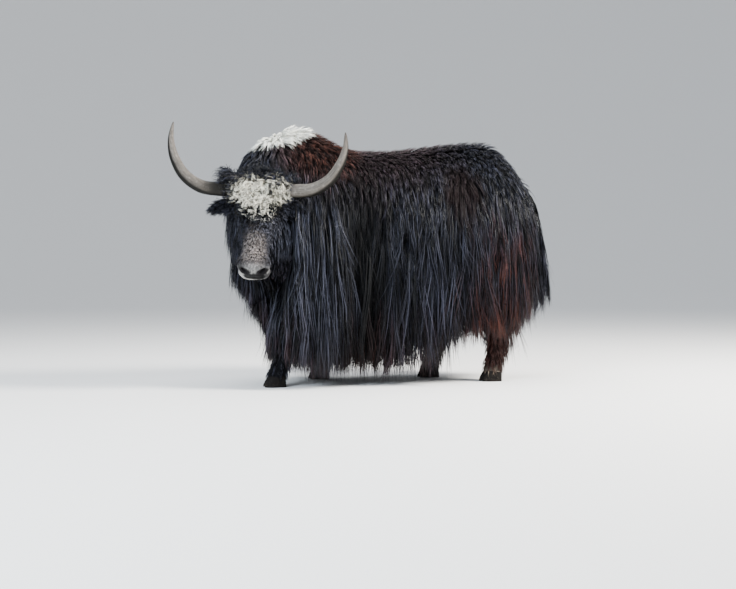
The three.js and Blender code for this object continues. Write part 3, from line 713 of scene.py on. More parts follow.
HEAD_MARKS = {
    # cheek: lighter bluish hair, a painted highlight on the long cheek hair
    "cheek": ((0.085, -0.26, -0.07), (0.08, 0.19, 0.12), 0.5, 0.6),
    "poll": ((0, 0.085, -0.01), (0.21, 0.060, 0.10), 0.3, 0.5),
    "bridge": ((0, -0.350, 0.01), (0.064, 0.110, 0.08), 0.6, 2.2),
    "muzzle": ((0, -0.452, -0.085), (0.102, 0.062, 0.078), 0.35, 0.5),
    "pad": ((0, -0.470, -0.084), (0.058, 0.070, 0.028), 0.15, 0.5),
    "gape": ((0, -0.445, -0.114), (0.105, 0.070, 0.006), 0.5, 0.4),
    "left_nostril": ((0.046, -0.444, -0.050), (0.034, 0.034, 0.021), 0.3, 0.2),
    "right_nostril": ((-0.046, -0.444, -0.050), (0.034, 0.034, 0.021), 0.3, 0.2),
    "left_lid": ((0.103, -0.112, -0.016), (0.03, 0.034, 0.026), 0.3, 0.3),
    "right_lid": ((-0.103, -0.112, -0.016), (0.03, 0.034, 0.026), 0.3, 0.3),
    "mingled": ((0.030, -0.120, 0.045), (0.120, 0.068, 0.10), 0.3, 0.8),
    "blaze": ((0.012, -0.030, 0.045), (0.146, 0.052, 0.12), 0.12, 0.7),
    "drop": ((-0.005, -0.066, 0.045), (0.080, 0.050, 0.10), 0.12, 0.8),
}
SADDLE_TILT = 0.22
# Marks whose edge runs along whole hairs
EDGED_BY_HAIRS = ("bridge", "mingled", "blaze", "drop", "saddle")
# The coat's black, from its darkest to its lightest hairs by random tone; the bluish tint of the
# lighter hairs is a painted sky sheen
BLACK = (0.0004, 0.0005, 0.0010), (0.0370, 0.0390, 0.0570)
# Colours laid over the black in this order: mark, how far it covers, what makes its hairs
# lighter, and its darkest and lightest colour
PAINT = [
    # mane: lighter, bluish strands, a painted sky sheen on the lit mane, varied by random tone
    ("mane", 1.0, "tone", (0.0005, 0.0006, 0.0011), (0.067, 0.070, 0.097)),
    # hollow: painted shade in the recess behind the mane
    ("hollow", 0.95, None, (0.0004, 0.0006, 0.0011)),
    ("rust", 0.8, "tone", (0.0120, 0.0040, 0.0028), (0.098, 0.0290, 0.0125)),
    ("hip", 0.9, None, (0.0070, 0.0018, 0.0018)),
    ("tips", 1.0, "own", (0.020, 0.0065, 0.0050), (0.085, 0.0270, 0.0180)),
    ("brown_leg", 0.8, None, (0.030, 0.0150, 0.0110)),
    ("red_leg", 0.85, None, (0.030, 0.0095, 0.0065)),
    ("pastern", 0.8, None, (0.28, 0.225, 0.17)),
    # cheek: a painted bluish highlight on the long cheek hair
    ("cheek", 0.8, "tone", (0.004, 0.0045, 0.0065), (0.20, 0.206, 0.26)),
    ("poll", 0.75, None, (0.0030, 0.0032, 0.0045)),
    ("bridge", 0.9, "grizzle", (0.006, 0.005, 0.005), (0.660, 0.565, 0.510)),
    ("muzzle", 0.9, "mottle", (0.050, 0.049, 0.051), (0.640, 0.625, 0.600)),
    ("pad", 0.97, None, (0.0025, 0.0022, 0.0025)),
    ("gape", 0.9, None, (0.008, 0.007, 0.007)),
    ("left_nostril", 1.0, None, (0.006, 0.005, 0.006)),
    ("left_lid", 1.0, None, (0.010, 0.009, 0.009)),
    ("right_nostril", 1.0, None, (0.006, 0.005, 0.006)),
    ("right_lid", 1.0, None, (0.010, 0.009, 0.009)),
    ("blaze", 1.0, "cream", (0.16, 0.145, 0.115), (0.97, 0.92, 0.76)),
    ("saddle", 1.0, "own", (0.70, 0.70, 0.64), (0.98, 0.98, 0.90)),
]


def make_markings():
    """Colours of skin and coat by place, alike on both."""
    inputs = {"Place": "Vector", "Along": "Float", "Own": "Float", "Shared": "Float"}
    outputs = {"Colour": "Color", "Roughness": "Float", "Bare": "Float"}
    group = bpy.data.node_groups.new("yak_markings", "ShaderNodeTree")
    for way, sockets in (("INPUT", inputs), ("OUTPUT", outputs)):
        for name, kind in sockets.items():
            group.interface.new_socket(name, in_out=way, socket_type="NodeSocket" + kind)
    place, along, own, shared = group.nodes.new("NodeGroupInput").outputs[:4]
    n = Nodes(group)
    patchy, fine = n.speckle(place, 9.0, 4, 0.65), n.speckle(place, 60.0, 2)
    both = n.plus(n.times(own, 0.62), n.times(shared, 0.38))
    ragged = n.plus(n.times(patchy, 0.7), n.times(fine, 0.3))
    by_hair = n.plus(n.times(ragged, 0.35), n.times(both, 0.65))
    marks = {}
    for name, (centre, radii, soft, wild) in {**BODY_MARKS, **HEAD_MARKS}.items():
        edge = by_hair if name in EDGED_BY_HAIRS else ragged
        if name in HEAD_MARKS:
            middle, turn = head_place @ Vector(centre), head_place.to_euler()
        else:
            middle, turn = MIDDLE + centre, (SADDLE_TILT * (name == "saddle"), 0, 0)
        marks[name] = n.spot(place, tuple(middle), radii, edge, soft, wild, tuple(turn))
    marks["rust"] = n.most(marks["rust"], n.times(marks["ridge"], 0.4))
    # reddish tips on thigh and skirt, in some of the locks
    reddish = n.most(marks["thigh"], n.times(marks["skirt"], 0.5))
    tips = n.times(n.ranged(along, 0.30, 0.9), reddish)
    marks["tips"] = n.times(tips, n.ranged(shared, 0.45, 0.75, 0.1, 1.0))
    # white hairs mingled with the black below the blaze
    white = n.times(n.ranged(both, 0.58, 0.68, 0.0, 0.7), n.ranged(along, 0.0, 0.1))
    blaze = n.most(marks["blaze"], marks["drop"])
    marks["blaze"] = n.most(blaze, n.times(marks["mingled"], white))
    shades = {
        "tone": n.ranged(both, 0.38, 0.95), "own": own, "cream": n.ranged(own, 0.0, 0.5),
        "grizzle": n.ranged(both, 0.34, 0.68), "mottle": n.ranged(ragged, 0.38, 0.62),
    }
    colour = n.mix(shades["tone"], *BLACK)
    for name, cover, shade, *colours in PAINT:
        paint = n.mix(shades[shade], *colours) if shade else colours[0]
        colour = n.mix(n.times(marks[name], cover), colour, paint)
    rough = n.plus(n.times(own, 0.16), n.times(marks["blaze"], 0.25))
    dull = n.most(marks["hip"], n.most(marks["rust"], marks["hollow"]))
    rough = n.plus(n.plus(rough, n.times(dull, 0.35)), 0.28)
    # Bare: the bare muzzle, and where the painted shade in and under the coat is lessened, on the
    # white blaze and saddle
    bare = n.most(marks["muzzle"], n.times(marks["blaze"], 0.4))
    bare = n.most(bare, n.times(marks["saddle"], 0.8))
    end = group.nodes.new("NodeGroupOutput")
    n.fill(end, {"Colour": colour, "Roughness": rough, "Bare": bare})
    return group


markings = make_markings()


def make_coat_finish():
    n = Finish("long_coat")
    along, own, shared = n.add("SeparateXYZ", {0: n.attribute("lock")}).outputs
    links = {"Place": n.attribute("root"), "Along": along, "Own": own, "Shared": shared}
    colour, rough, bare = n.add("Group", links, node_tree=markings).outputs
    # darker near the skin, where little light comes
    shade = n.most(n.ranged(along, 0.0, 0.6, 0.3, 1.0), n.times(bare, 1.1))
    return n.done(n.mix(1.0, colour, shade, "MULTIPLY"), rough, 0.15)


def make_skin_finish():
    n = Finish("short_coat_and_hide")
    place = n.object_place()
    fine, broad = n.speckle(place, 240.0, 4, 0.7, (1, 1, 0.3)), n.speckle(place, 30.0)
    links = {"Place": place, "Along": 0.0, "Own": fine, "Shared": broad}
    colour, _, bare = n.add("Group", links, node_tree=markings).outputs
    colour = n.mix(1.0, colour, n.ranged(fine, 0.3, 0.7, 0.5, 1.0), "MULTIPLY")
    # painted shade: the skin is darkened where the coat covers it, but not where it is bare
    shaded_under_coat = n.mix(1.0, colour, (0.25, 0.25, 0.27), "MULTIPLY")
    rough = n.maths("SUBTRACT", 0.80, n.times(bare, 0.25))
    return n.done(n.mix(bare, shaded_under_coat, colour), rough, 0.08, Normal=n.bump(fine, 0.6, 0.003))


# Colours along a horn, from base to tip
HORN_COLOURS = [
    (0.0, (0.030, 0.030, 0.024)),
    (0.30, (0.065, 0.056, 0.046)),
    (0.45, (0.088, 0.077, 0.065)),
    (0.62, (0.120, 0.106, 0.090)),
    (0.88, (0.100, 0.086, 0.072)),
    (1.0, (0.018, 0.014, 0.012)),
]


def make_horn_finish():
    n = Finish("horn_keratin")
    way = n.attribute("horn_way")
    reach, edge = n.add("SeparateXYZ", {0: way}).outputs[:2]
    grain = n.speckle(way, 14.0, 4, 0.65, (1.2, 1, 6.0))
    mottle = n.speckle(n.object_place(), 55.0, 4, 0.7)
    ramp = n.add("ValToRGB", {0: reach})
    while len(ramp.color_ramp.elements) < len(HORN_COLOURS):
        ramp.color_ramp.elements.new(0.5)
    for element, (position, tint) in zip(ramp.color_ramp.elements, HORN_COLOURS):
        element.position, element.color = position, (*tint, 1)
    streaks = n.ranged(grain, 0.42, 0.62, 0.0, 0.7)
    colour = n.mix(streaks, ramp.outputs[0], (0.030, 0.025, 0.022))
    colour = n.mix(n.ranged(mottle, 0.5, 0.72, 0.0, 0.5), colour, (0.240, 0.215, 0.190))
    # darker along the outer and under side, partly the horn's own darker keratin and partly
    # painted shade; darker at the base
    outer = n.ranged(n.plus(edge, n.times(mottle, 0.12)), 0.51, 0.74)
    dark = n.most(outer, n.ranged(reach, 0.27, 0.40, 0.9, 0.0))
    colour = n.mix(dark, colour, (0.0050, 0.0045, 0.0036))
    bump = n.bump(n.plus(grain, n.times(mottle, 0.6)), 0.35, 0.002)
    return n.done(colour, n.ranged(mottle, 0.2, 0.8, 0.45, 0.7), 0.1, Normal=bump)


def make_hoof_finish():
    n = Finish("hoof_horn")
    place = n.object_place()
    grain = n.speckle(place, 90.0, 4, 0.7, (1, 1, 0.25))
    dust = n.speckle(place, 160.0, 3, 0.7)
    colour = n.mix(grain, (0.0022, 0.0019, 0.0018), (0.0095, 0.0080, 0.0070))
    height = n.add("SeparateXYZ", {0: place}).outputs[2]
    dusty = n.times(n.ranged(dust, 0.54, 0.70), n.ranged(height, 0.0, 0.05, 0.6, 0.05))
    colour = n.mix(dusty, colour, (0.11, 0.092, 0.074))
    rough = n.ranged(dust, 0.3, 0.7, 0.50, 0.8)
    return n.done(colour, rough, 0.05, Normal=n.bump(grain, 0.4, 0.0015))


def make_eye_finish(word, centre, out):
    n = Finish(f"eye_{word}_finish")
    place = n.object_place()
    face_on = tuple(Vector(out).to_track_quat("Z", "Y").to_euler())
    links = {"Vector": place, "Location": tuple(centre), "Rotation": face_on}
    local = n.add("Mapping", links, vector_type="TEXTURE").outputs[0]
    flat = n.add("VectorMath", {0: local, 1: (1, 1, 0)}, operation="MULTIPLY").outputs[0]
    far = n.add("VectorMath", {0: flat}, operation="LENGTH").outputs["Value"]
    iris = n.mix(n.speckle(place, 260.0), (0.012, 0.006, 0.003), (0.060, 0.030, 0.014))
    colour = n.mix(n.ranged(far, 0.0125, 0.0150), iris, (0.022, 0.016, 0.013))
    colour = n.mix(n.ranged(far, 0.0055, 0.0070, 1.0, 0.0), colour, (0.002, 0.002, 0.003))
    return n.done(colour, 0.06, Coat_Weight=1.0, Coat_Roughness=0.02)


def dress(pieces, finish):
    for piece in pieces:
        piece.data.materials.clear()
        piece.data.materials.append(finish)


coat_finish = make_coat_finish()
dress([skin], make_skin_finish())
dress(horns, make_horn_finish())
dress(claws, make_hoof_finish())
for word, (eye, centre, out) in zip(SIDES, eyes):
    dress([eye], make_eye_finish(word, centre, out))

# The coat. Each table gives a size of the hair by its place across, along or up the animal.
HEM_BY_Y = {
    -0.720: 0.310, -0.630: 0.210, -0.560: 0.110, -0.460: 0.070, 0.110: 0.055,
    0.190: 0.110, 0.300: 0.235, 0.600: 0.265, 0.880: 0.330,
}
BODY_LENGTH_BY_Z = {0.42: 0.86, 0.80: 0.86, 0.95: 0.46, 1.08: 0.20, 1.20: 0.10, 1.42: 0.09}
BODY_DEPTH_BY_Z = {0.42: 0.050, 0.75: 0.060, 0.95: 0.044, 1.15: 0.030, 1.30: 0.036, 1.42: 0.054}
DEPTH_SHARE_BY_Y = {0.55: 1.0, 0.80: 0.4}
BODY_BACK_BY_Y = {
    -0.5: 0.15, -0.36: -0.02, -0.28: 0, 0.10: 0.02, 0.45: -0.32, 0.70: 0.10, 0.85: 0.1,
}
# How low the tips hang at the front of the neck
NECK_HEM_BY_REACH = {
    -0.86: 0.56, -0.78: 0.50, -0.72: 0.34, -0.664: 0.22, -0.625: 0.165, -0.55: 0.11,
}
NECK_LENGTH_BY_Z = {0.55: 0.52, 0.8: 0.80, 1.0: 0.78, 1.15: 0.36, 1.3: 0.11}
NECK_DEPTH_BY_Z = {0.5: 0.045, 0.9: 0.055, 1.1: 0.040, 1.3: 0.028}
NECK_DEPTH_SHARE_BY_X = {-0.1: 0.30, 0.1: 0.8, 0.25: 1.15}
NECK_BACK_BY_X = {-0.1: 0.1, 0.15: 0.10, 0.30: -0.06}
LEG_LENGTH_BY_Z = {0.04: 0.040, 0.09: 0.048, 0.15: 0.042, 0.30: 0.070, 0.42: 0.13}
TAIL_LENGTH_BY_Z = {0.6: 0.46, 0.9: 0.40, 1.15: 0.16}
TAIL_DEPTH_BY_Z = {0.6: 0.060, 0.85: 0.050, 1.1: 0.016}
CURL_SIZE_BY_Y = {-0.215: 0.45, -0.14: 0.75, -0.02: 1.0}
FACE_WEIGHT_BY_Y = {-0.47: 1.6, -0.3: 1.5, 0.05: 0.9}
HIP_WHORL = (0.31, 0.385, 1.11)
COAT_LOW, COAT_HIGH = np.array([-0.462, -1.17, 0.012]), np.array([0.462, 1.17, 1.45])
ROOT_DEPTH = 0.004
FLOOR_GAP = 0.014
PATCH = 0.003
# Heights from and to which the hair of the trunk is of each kind, overlapping a little
BACK, SHOULDER, FLANK, SKIRTS = (1.16, 2.0), (1.0, 1.18), (0.76, 1.04), (0.0, 0.80)
LEG_TOP = 0.425
NECK_START, SKIRTS_MEET, TAIL_START = -0.60, -0.05, 0.872
TAIL_HALF = 0.06


class Hide:
    """The skin as a ground for hair."""

    def __init__(self, piece):
        mesh = piece.data
        self.places = places_of(piece)
        normals = np.empty(len(mesh.vertices) * 3)
        mesh.vertices.foreach_get("normal", normals)
        self.normals = normals.reshape(-1, 3)
        mesh.calc_loop_triangles()
        corners = np.empty(len(mesh.loop_triangles) * 3, int)
        mesh.loop_triangles.foreach_get("vertices", corners)
        self.faces = corners.reshape(-1, 3)
        loops = np.empty_like(corners)
        mesh.loop_triangles.foreach_get("loops", loops)
        flat = np.empty(len(mesh.loops) * 2)
        mesh.uv_layers["OFBake"].data.foreach_get("uv", flat)
        self.patches = flat.reshape(-1, 2)[loops].reshape(-1, 3, 2)
        a, b, c = (self.places[self.faces[:, i]] for i in range(3))
        self.areas = np.linalg.norm(np.cross(b - a, c - a), axis=1) / 2
        self.middles = (a + b + c) / 3
        self.outward = unit(np.cross(b - a, c - a))
        self.tree = BVHTree.FromPolygons(self.places.tolist(), self.faces.tolist())

    def roots(self, weight, count):
        """Places, normals and map places of seeded random roots, by weight and area."""
        chance = self.areas * weight
        picked = draw.choice(len(chance), size=count, p=chance / chance.sum())
        a, b = draw.random((2, count))
        over = a + b > 1
        a, b = np.where(over, 1 - a, a), np.where(over, 1 - b, b)
        shares = np.stack([1 - a - b, a, b], axis=1)[:, :, None]
        corners = self.faces[picked]
        places = (self.places[corners] * shares).sum(axis=1)
        normals = unit((self.normals[corners] * shares).sum(axis=1))
        return places, normals, (self.patches[picked] * shares).sum(axis=1)

    def nearest(self, places):
        """The nearest place on the skin and the way off it there."""
        near, off = np.empty_like(places), np.empty_like(places)
        for i, place in enumerate(places):
            near[i], off[i] = self.tree.find_nearest(place)[:2]
        return near, off


hide = Hide(skin)
amount = 1.0


def drawn(count, low, more):
    """Random sizes from low to low + more."""
    return low + more * draw.random(count)


def flattened(ways, normals):
    """Directions without their part off the skin."""
    return ways - normals * (ways * normals).sum(axis=-1, keepdims=True)


def owners(roots, leads):
    """For each root the nearest of the first ones, which lead a lock each."""
    tree = kdtree.KDTree(leads)
    for i, place in enumerate(roots[:leads]):
        tree.insert(place, i)
    tree.balance()
    return np.array([tree.find(place)[1] for place in roots])


def fall(roots, normals, lengths, lies, stand, weight, rise, steps):
    """Paths of hairs that leave the skin along their lie, bend down and stay off the skin."""
    here = roots - normals * ROOT_DEPTH
    way = unit(lies + normals * rise[:, None])
    paths, offs = [here], [normals]
    for i in range(steps):
        s = (i + 1) / steps
        way = unit(way + DOWN * (weight * (0.35 + s))[:, None])
        moved_on = here + way * (lengths / steps)[:, None]
        near, off = hide.nearest(moved_on)
        gap = ((moved_on - near) * off).sum(axis=1)
        wanted = stand * min(1.0, 0.35 + 0.9 * s)
        moved_on += off * np.clip(wanted - gap, 0, None)[:, None]
        moved_on[:, 2] = np.maximum(moved_on[:, 2], FLOOR_GAP)
        way = unit(moved_on - here)
        here = moved_on
        paths.append(here)
        offs.append(off)
    return np.stack(paths, axis=1), np.stack(offs, axis=1)


def locks_from(weight, habit, count, per_lock, steps, width, clump=0.8, stray=0.006, bend=0.0,
               wave=0.004, wave_length=0.11, shortest=0.72):
    """Strands in locks. The weight says where they grow, and the habit how their locks lie."""
    count = int(count * amount)
    roots, normals, patches = hide.roots(weight, count)
    leads = max(count // per_lock, 3)
    lay = habit(roots[:leads], normals[:leads])
    lines, offs = fall(roots[:leads], normals[:leads], steps=steps, **lay)
    owner = owners(roots, leads)
    # each strand takes a share of the length of its lock's line
    s = np.linspace(0, 1, steps + 1)
    share = shortest + (1 - shortest) * draw.random(count) ** 0.7
    at = share[:, None] * s * steps
    low = np.minimum(at.astype(int), steps - 1)
    rest = (at - low)[:, :, None]
    mine = owner[:, None]
    path = lines[mine, low] * (1 - rest) + lines[mine, low + 1] * rest
    off = unit(offs[mine, low] * (1 - rest) + offs[mine, low + 1] * rest)
    along = unit(np.gradient(path, axis=1))
    side = unit(np.cross(along, off))
    over = np.cross(side, along)
    # strands draw together towards the tip of their lock
    start = roots - normals * ROOT_DEPTH - path[:, 0]
    path = path + start[:, None] * (1 - clump * ease(s, 0.0, 0.9)[None, :, None])
    # waves shared by a lock, and a little of each strand's own
    length = lay["lengths"][mine]
    turn = length / wave_length * s * 2 * math.pi
    turn = turn + drawn(leads, 0, TURN_ROUND)[mine] + 0.5 * draw.standard_normal((count, 1))
    size = wave * drawn(leads, 0.6, 0.8)[mine] * s**0.8
    sideways = (bend * draw.standard_normal(leads))[mine] * length * s**2
    path += side * sideways[:, :, None]
    path += side * (size * np.sin(turn))[:, :, None]
    path += over * (0.6 * size * np.cos(turn))[:, :, None]
    strays = stray * draw.standard_normal((count, 3)) * length / 0.3
    path += strays[:, None] * (s**1.3)[None, :, None]
    path = np.clip(path, COAT_LOW, COAT_HIGH)
    width = width * drawn(count, 0.7, 0.6)
    tone = np.stack([draw.random(count), draw.random(leads)[owner]], axis=1)
    return path, side, over, width, 0.4, roots, patches, tone


def strands_mesh(name, slot, path, side, over, width, thick, roots, patches, tone):
    """One piece of the coat: every strand a closed, flat, three-sided, tapering form."""
    count, rows = path.shape[:2]
    s = np.linspace(0, 1, rows)
    along = unit(np.gradient(path, axis=1))
    roll = 0.5 * draw.standard_normal((count, 1, 1))
    across = unit(flattened(side, along))
    across = across * np.cos(roll) + np.cross(along, across) * np.sin(roll)
    up = np.cross(along, across)
    up = np.where((up * over).sum(axis=2, keepdims=True) < 0, -up, up)
    across = np.cross(along, up) * -1
    taper = (0.55 + 0.45 * ease(s, 0, 0.25)) * (1 - 0.85 * s**2.6)
    half = (width[:, None] / 2 * taper)[:, :, None]
    high = half * 2 * thick
    left, right = path + across * half - up * high * 0.4, path - across * half - up * high * 0.4
    rings = np.stack([left, path + up * high * 0.6, right], axis=2)
    places = np.concatenate([rings[:, :-1].reshape(count, -1, 3), path[:, -1:]], axis=1)
    tip = places.shape[1] - 1
    faces = [(0, 2, 1)]
    for row in range(rows - 2):
        for j in range(3):
            a, b = row * 3 + j, row * 3 + (j + 1) % 3
            faces += [(a, b, b + 3), (a, b + 3, a + 3)]
    faces += [(tip - 3 + j, tip - 3 + (j + 1) % 3, tip) for j in range(3)]
    faces = np.array(faces)[None] + np.arange(count)[:, None, None] * (tip + 1)
    # each strand's patch of the map lies at its root's place
    across_map = np.append(np.tile([0, 0.5, 1], rows - 1), 0.5)
    along_map = np.append(np.repeat(s[:-1], 3), 1)
    grid = (np.stack([across_map, along_map], axis=1) - 0.5) * PATCH
    flat = (patches[:, None] + grid[None]).reshape(-1, 2)[faces.ravel()]
    tones = np.empty((count, tip + 1, 3))
    tones[:, :, 0] = along_map
    tones[:, :, 1:] = tone[:, None]
    mesh = bpy.data.meshes.new(name)
    mesh.vertices.add(places.size // 3)
    mesh.vertices.foreach_set("co", places.ravel())
    mesh.loops.add(faces.size)
    mesh.loops.foreach_set("vertex_index", faces.ravel())
    mesh.polygons.add(faces.size // 3)
    mesh.polygons.foreach_set("loop_start", np.arange(0, faces.size, 3))
    mesh.polygons.foreach_set("use_smooth", np.ones(faces.size // 3, bool))
    mesh.update(calc_edges=True)
    uv = mesh.uv_layers.new(name="OFBake")
    uv.data.foreach_set("uv", np.clip(flat, 0.0001, 0.9999).ravel())
    piece = bpy.data.objects.new(name, mesh)
    set_attribute(piece, "root", np.repeat(roots, tip + 1, axis=0))
    set_attribute(piece, "lock", tones)
    bpy.context.collection.objects.link(piece)
    dress([piece], coat_finish)
    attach(piece, "root")


def flesh_lie(places, normals, back=0.35):
    """The lie of the coat: out from the spine, back and down."""
    across = places[:, 0] - MIDDLE[0]
    upward = normals[:, 2].clip(0)
    back = np.broadcast_to(back, len(places)) + 0.5 * bell(across, 0.05) * upward
    outward = 0.55 * np.clip(across / 0.16, -1, 1) * upward
    pull = np.stack([outward, back, -np.ones(len(places))], axis=1)
    # hair runs out from the whorl on each hip
    from_whorl = places - MIDDLE - mirrored(HIP_WHORL, across)
    far = np.linalg.norm(from_whorl, axis=1, keepdims=True)
    pull = flattened(pull + 1.1 * unit(from_whorl) * bell(far, 0.13), normals)
    noise = np.where(normals[:, 2:] > 0.6, 0.05, 0.16)
    return unit(pull + noise * draw.standard_normal(pull.shape))


def body_habit(places, normals):
    x, y, z = (places - MIDDLE).T
    count = len(places)
    hem = by(y, HEM_BY_Y) - 0.022 + 0.026 * draw.standard_normal(count)
    mane = ease(-y, 0.28, 0.36) * ease(-z, -1.18, -0.95)
    longest = by(z, BODY_LENGTH_BY_Z) * (1 + 0.9 * mane)
    lengths = np.minimum(np.maximum(z - hem, 0.08), longest * drawn(count, 0.55, 0.50))
    belly = np.minimum(lengths, drawn(count, 0.16, 0.12))
    lengths = np.where(normals[:, 2] < -0.6, belly, lengths)
    depth = by(z, BODY_DEPTH_BY_Z) * np.where(x < 0, 0.72, 1.0) * by(y, DEPTH_SHARE_BY_Y)
    hollow = bell(y + 0.19, 0.11) * ease(-z, -1.1, -0.85)
    top = ease(normals[:, 2], 0.3, 0.9)
    layer = draw.random(count)
    layer = layer + (0.72 - layer) * 0.75 * top
    fuller = (1 + np.where(x < 0, 0.5, 1.7) * mane) * (1 - 0.9 * hollow)
    return {
        "lengths": lengths,
        "lies": flesh_lie(places, normals, by(y, BODY_BACK_BY_Y) + 0.45 * top),
        "stand": (0.006 + layer * depth) * fuller,
        "weight": drawn(count, 0.9, 0.5) * (1 - 0.75 * top),
        "rise": 0.05 + drawn(count, 0, 0.13) * (1 - 0.7 * top) + 0.04 * top
        + 0.14 * ease(z, 1.33, 1.38),
    }


def neck_habit(places, normals):
    x, y, z = (places - MIDDLE).T
    count = len(places)
    tips = by(0.966 * y + 0.259 * x, NECK_HEM_BY_REACH) + 0.025 * draw.standard_normal(count)
    longest = by(z, NECK_LENGTH_BY_Z) * np.where(x < -0.05, 0.8, 1.0)
    longest = longest * (1 - 0.4 * ease(in_level(places)[:, 2], -0.06, 0.05))
    lengths = np.minimum(z - tips, longest * drawn(count, 0.80, 0.25))
    depth = by(z, NECK_DEPTH_BY_Z) * by(x, NECK_DEPTH_SHARE_BY_X)
    top = ease(normals[:, 2], 0.3, 0.9)
    return {
        "lengths": np.maximum(lengths, 0.05),
        "lies": flesh_lie(places, normals, by(x, NECK_BACK_BY_X) * (1 - top)),
        "stand": 0.006 + draw.random(count) * depth,
        "weight": drawn(count, 1.0, 0.5) * (1 - 0.5 * top),
        "rise": drawn(count, 0.06, 0.12) + 0.05 * top,
    }


def leg_habit(places, normals):
    y, z = (places - MIDDLE).T[1:]
    count = len(places)
    lengths = by(z, LEG_LENGTH_BY_Z) * (1 + 0.7 * normals[:, 1].clip(0)) * drawn(count, 0.7, 0.5)
    lengths = np.minimum(lengths * np.where(y > 0, 1.5, 1.0), np.maximum(z - 0.016, 0.012))
    return {
        "lengths": lengths,
        "lies": flesh_lie(places, normals, 0.2),
        "stand": 0.003 + 0.15 * lengths * draw.random(count),
        "weight": np.full(count, 0.45),
        "rise": drawn(count, 0.04, 0.10),
    }


def tail_habit(places, normals):
    z, count = places[:, 2], len(places)
    tips = 0.335 + 0.07 * draw.random(count) ** 2
    lengths = np.minimum(by(z, TAIL_LENGTH_BY_Z), z - tips)
    return {
        "lengths": np.maximum(lengths * drawn(count, 0.75, 0.3), 0.03),
        "lies": flesh_lie(places, normals, 0.15),
        "stand": 0.012 + by(z, TAIL_DEPTH_BY_Z) * draw.random(count),
        "weight": np.full(count, 0.9),
        "rise": drawn(count, 0.08, 0.15),
    }


def face_habit(places, normals):
    h = in_head(places)
    count = len(places)
    cheek = ease(-h[:, 2], 0.05, 0.16)
    back = ease(h[:, 1], -0.36, -0.05)
    bridge = bell(h[:, 0], 0.06) * ease(-h[:, 1], 0.20, 0.28)
    lengths = 0.016 + 0.020 * back + 0.010 * bridge + cheek * (0.015 + 0.17 * back)
    lengths *= drawn(count, 0.7, 0.5) * np.interp(h[:, 1], [-0.42, -0.38], [0.4, 1.0])
    far = np.linalg.norm(h - mirrored(EYE_PLACE, h[:, 0]), axis=1)
    lengths *= ease(far, 0.02, 0.075)
    outward = 0.45 * np.clip(h[:, 0] / 0.07, -1, 1) * (1 - cheek)
    lie = turned(np.stack([outward, -np.ones(count), -0.5 * cheek], axis=1), head_place)
    lie = unit(flattened(lie + DOWN * cheek[:, None], normals))
    lie = lie + (0.12 + 0.25 * bridge)[:, None] * draw.standard_normal(lie.shape)
    raised = np.minimum(0.25 * lengths, 0.014) * draw.random(count)
    return {
        "lengths": lengths,
        "lies": unit(lie),
        "stand": 0.001 + raised * (1 + 0.8 * bridge),
        "weight": 0.05 + 0.35 * cheek,
        "rise": drawn(count, 0.15, 0.35) * (1 - 0.75 * cheek),
    }


def ear_habit(places, normals):
    level, tip, _ = along_ear(places)
    count = len(places)
    ahead, down = np.full(count, 0.1), np.full(count, -0.35)
    lie = turned(np.stack([0.9 * np.sign(level[:, 0]), ahead, down], axis=1), level_place)
    lie = unit(flattened(lie, normals))
    lengths = (0.026 + 0.020 * tip) * drawn(count, 0.6, 0.6)
    return {
        "lengths": lengths,
        "lies": unit(lie + 0.25 * draw.standard_normal(lie.shape)),
        "stand": 0.002 + 0.3 * lengths * draw.random(count),
        "weight": np.full(count, 0.18),
        "rise": drawn(count, 0.3, 0.5),
    }


def curls_from(weight, count, per_lock, steps, width):
    """Woolly curls of the forehead and poll: strands that rise and wind round."""
    count = int(count * amount)
    roots, normals, patches = hide.roots(weight, count)
    leads = count // per_lock
    owner = owners(roots, leads)
    h, level = in_head(roots), in_level(roots)
    outer = ease(np.abs(level[:, 0]), 0.09, 0.15)
    crown = ease(level[:, 2], 0.0, 0.060)
    puff = outer * (level[:, 0] < 0)
    size = by(h[:, 1], CURL_SIZE_BY_Y)
    size = size + (0.60 + 1.6 * puff) * crown - 0.25 * outer * (1 - crown)
    s = np.linspace(0, 1, steps + 1)
    back = -0.8 + 1.4 * ease(h[:, 1], 0.01, 0.06)
    lie = turned(np.stack([1.6 * np.sign(h[:, 0]) * outer, back, 0 * outer], 1), head_place)
    lie = lie + 0.9 * draw.standard_normal((leads, 3))[owner]
    lie = unit(flattened(lie, normals))
    side = np.cross(normals, lie)
    spin = np.where(draw.random(leads) > 0.5, 1, -1)[owner]
    turns = drawn(leads, 0.9, 0.8)[owner] + 0.18 * draw.standard_normal(count)
    angle = spin[:, None] * turns[:, None] * s * 2 * math.pi
    radius = drawn(leads, 0.0055, 0.0045)[owner] * np.minimum(size, 1.1)
    radius = (radius * drawn(count, 0.7, 0.6))[:, None] * (1 - 0.35 * s)
    up = (0.030 * drawn(leads, 0.75, 0.35)[owner] * size)[:, None] * np.sin(s * 2.0)
    out = (0.034 * size * drawn(count, 0.7, 0.5))[:, None] * s
    path = (
        roots[:, None]
        + normals[:, None] * (up + 0.6 * radius * (1 - np.cos(angle)))[:, :, None]
        + lie[:, None] * (out + radius * np.sin(angle))[:, :, None]
        + side[:, None] * (radius * (1 - np.cos(angle)) * 0.8)[:, :, None]
    )
    gather = roots[owner] - roots
    path += gather[:, None] * (0.40 * ease(s, 0, 0.8))[None, :, None]
    path += 0.0035 * draw.standard_normal((count, 1, 3)) * s[None, :, None]
    along = unit(np.gradient(path, axis=1))
    across = unit(np.cross(along, np.broadcast_to(normals[:, None], along.shape)))
    tone = np.stack([draw.random(count), draw.random(leads)[owner]], axis=1)
    over = np.cross(across, along)
    return path, across, over, np.full(count, width), 0.6, roots, patches, tone


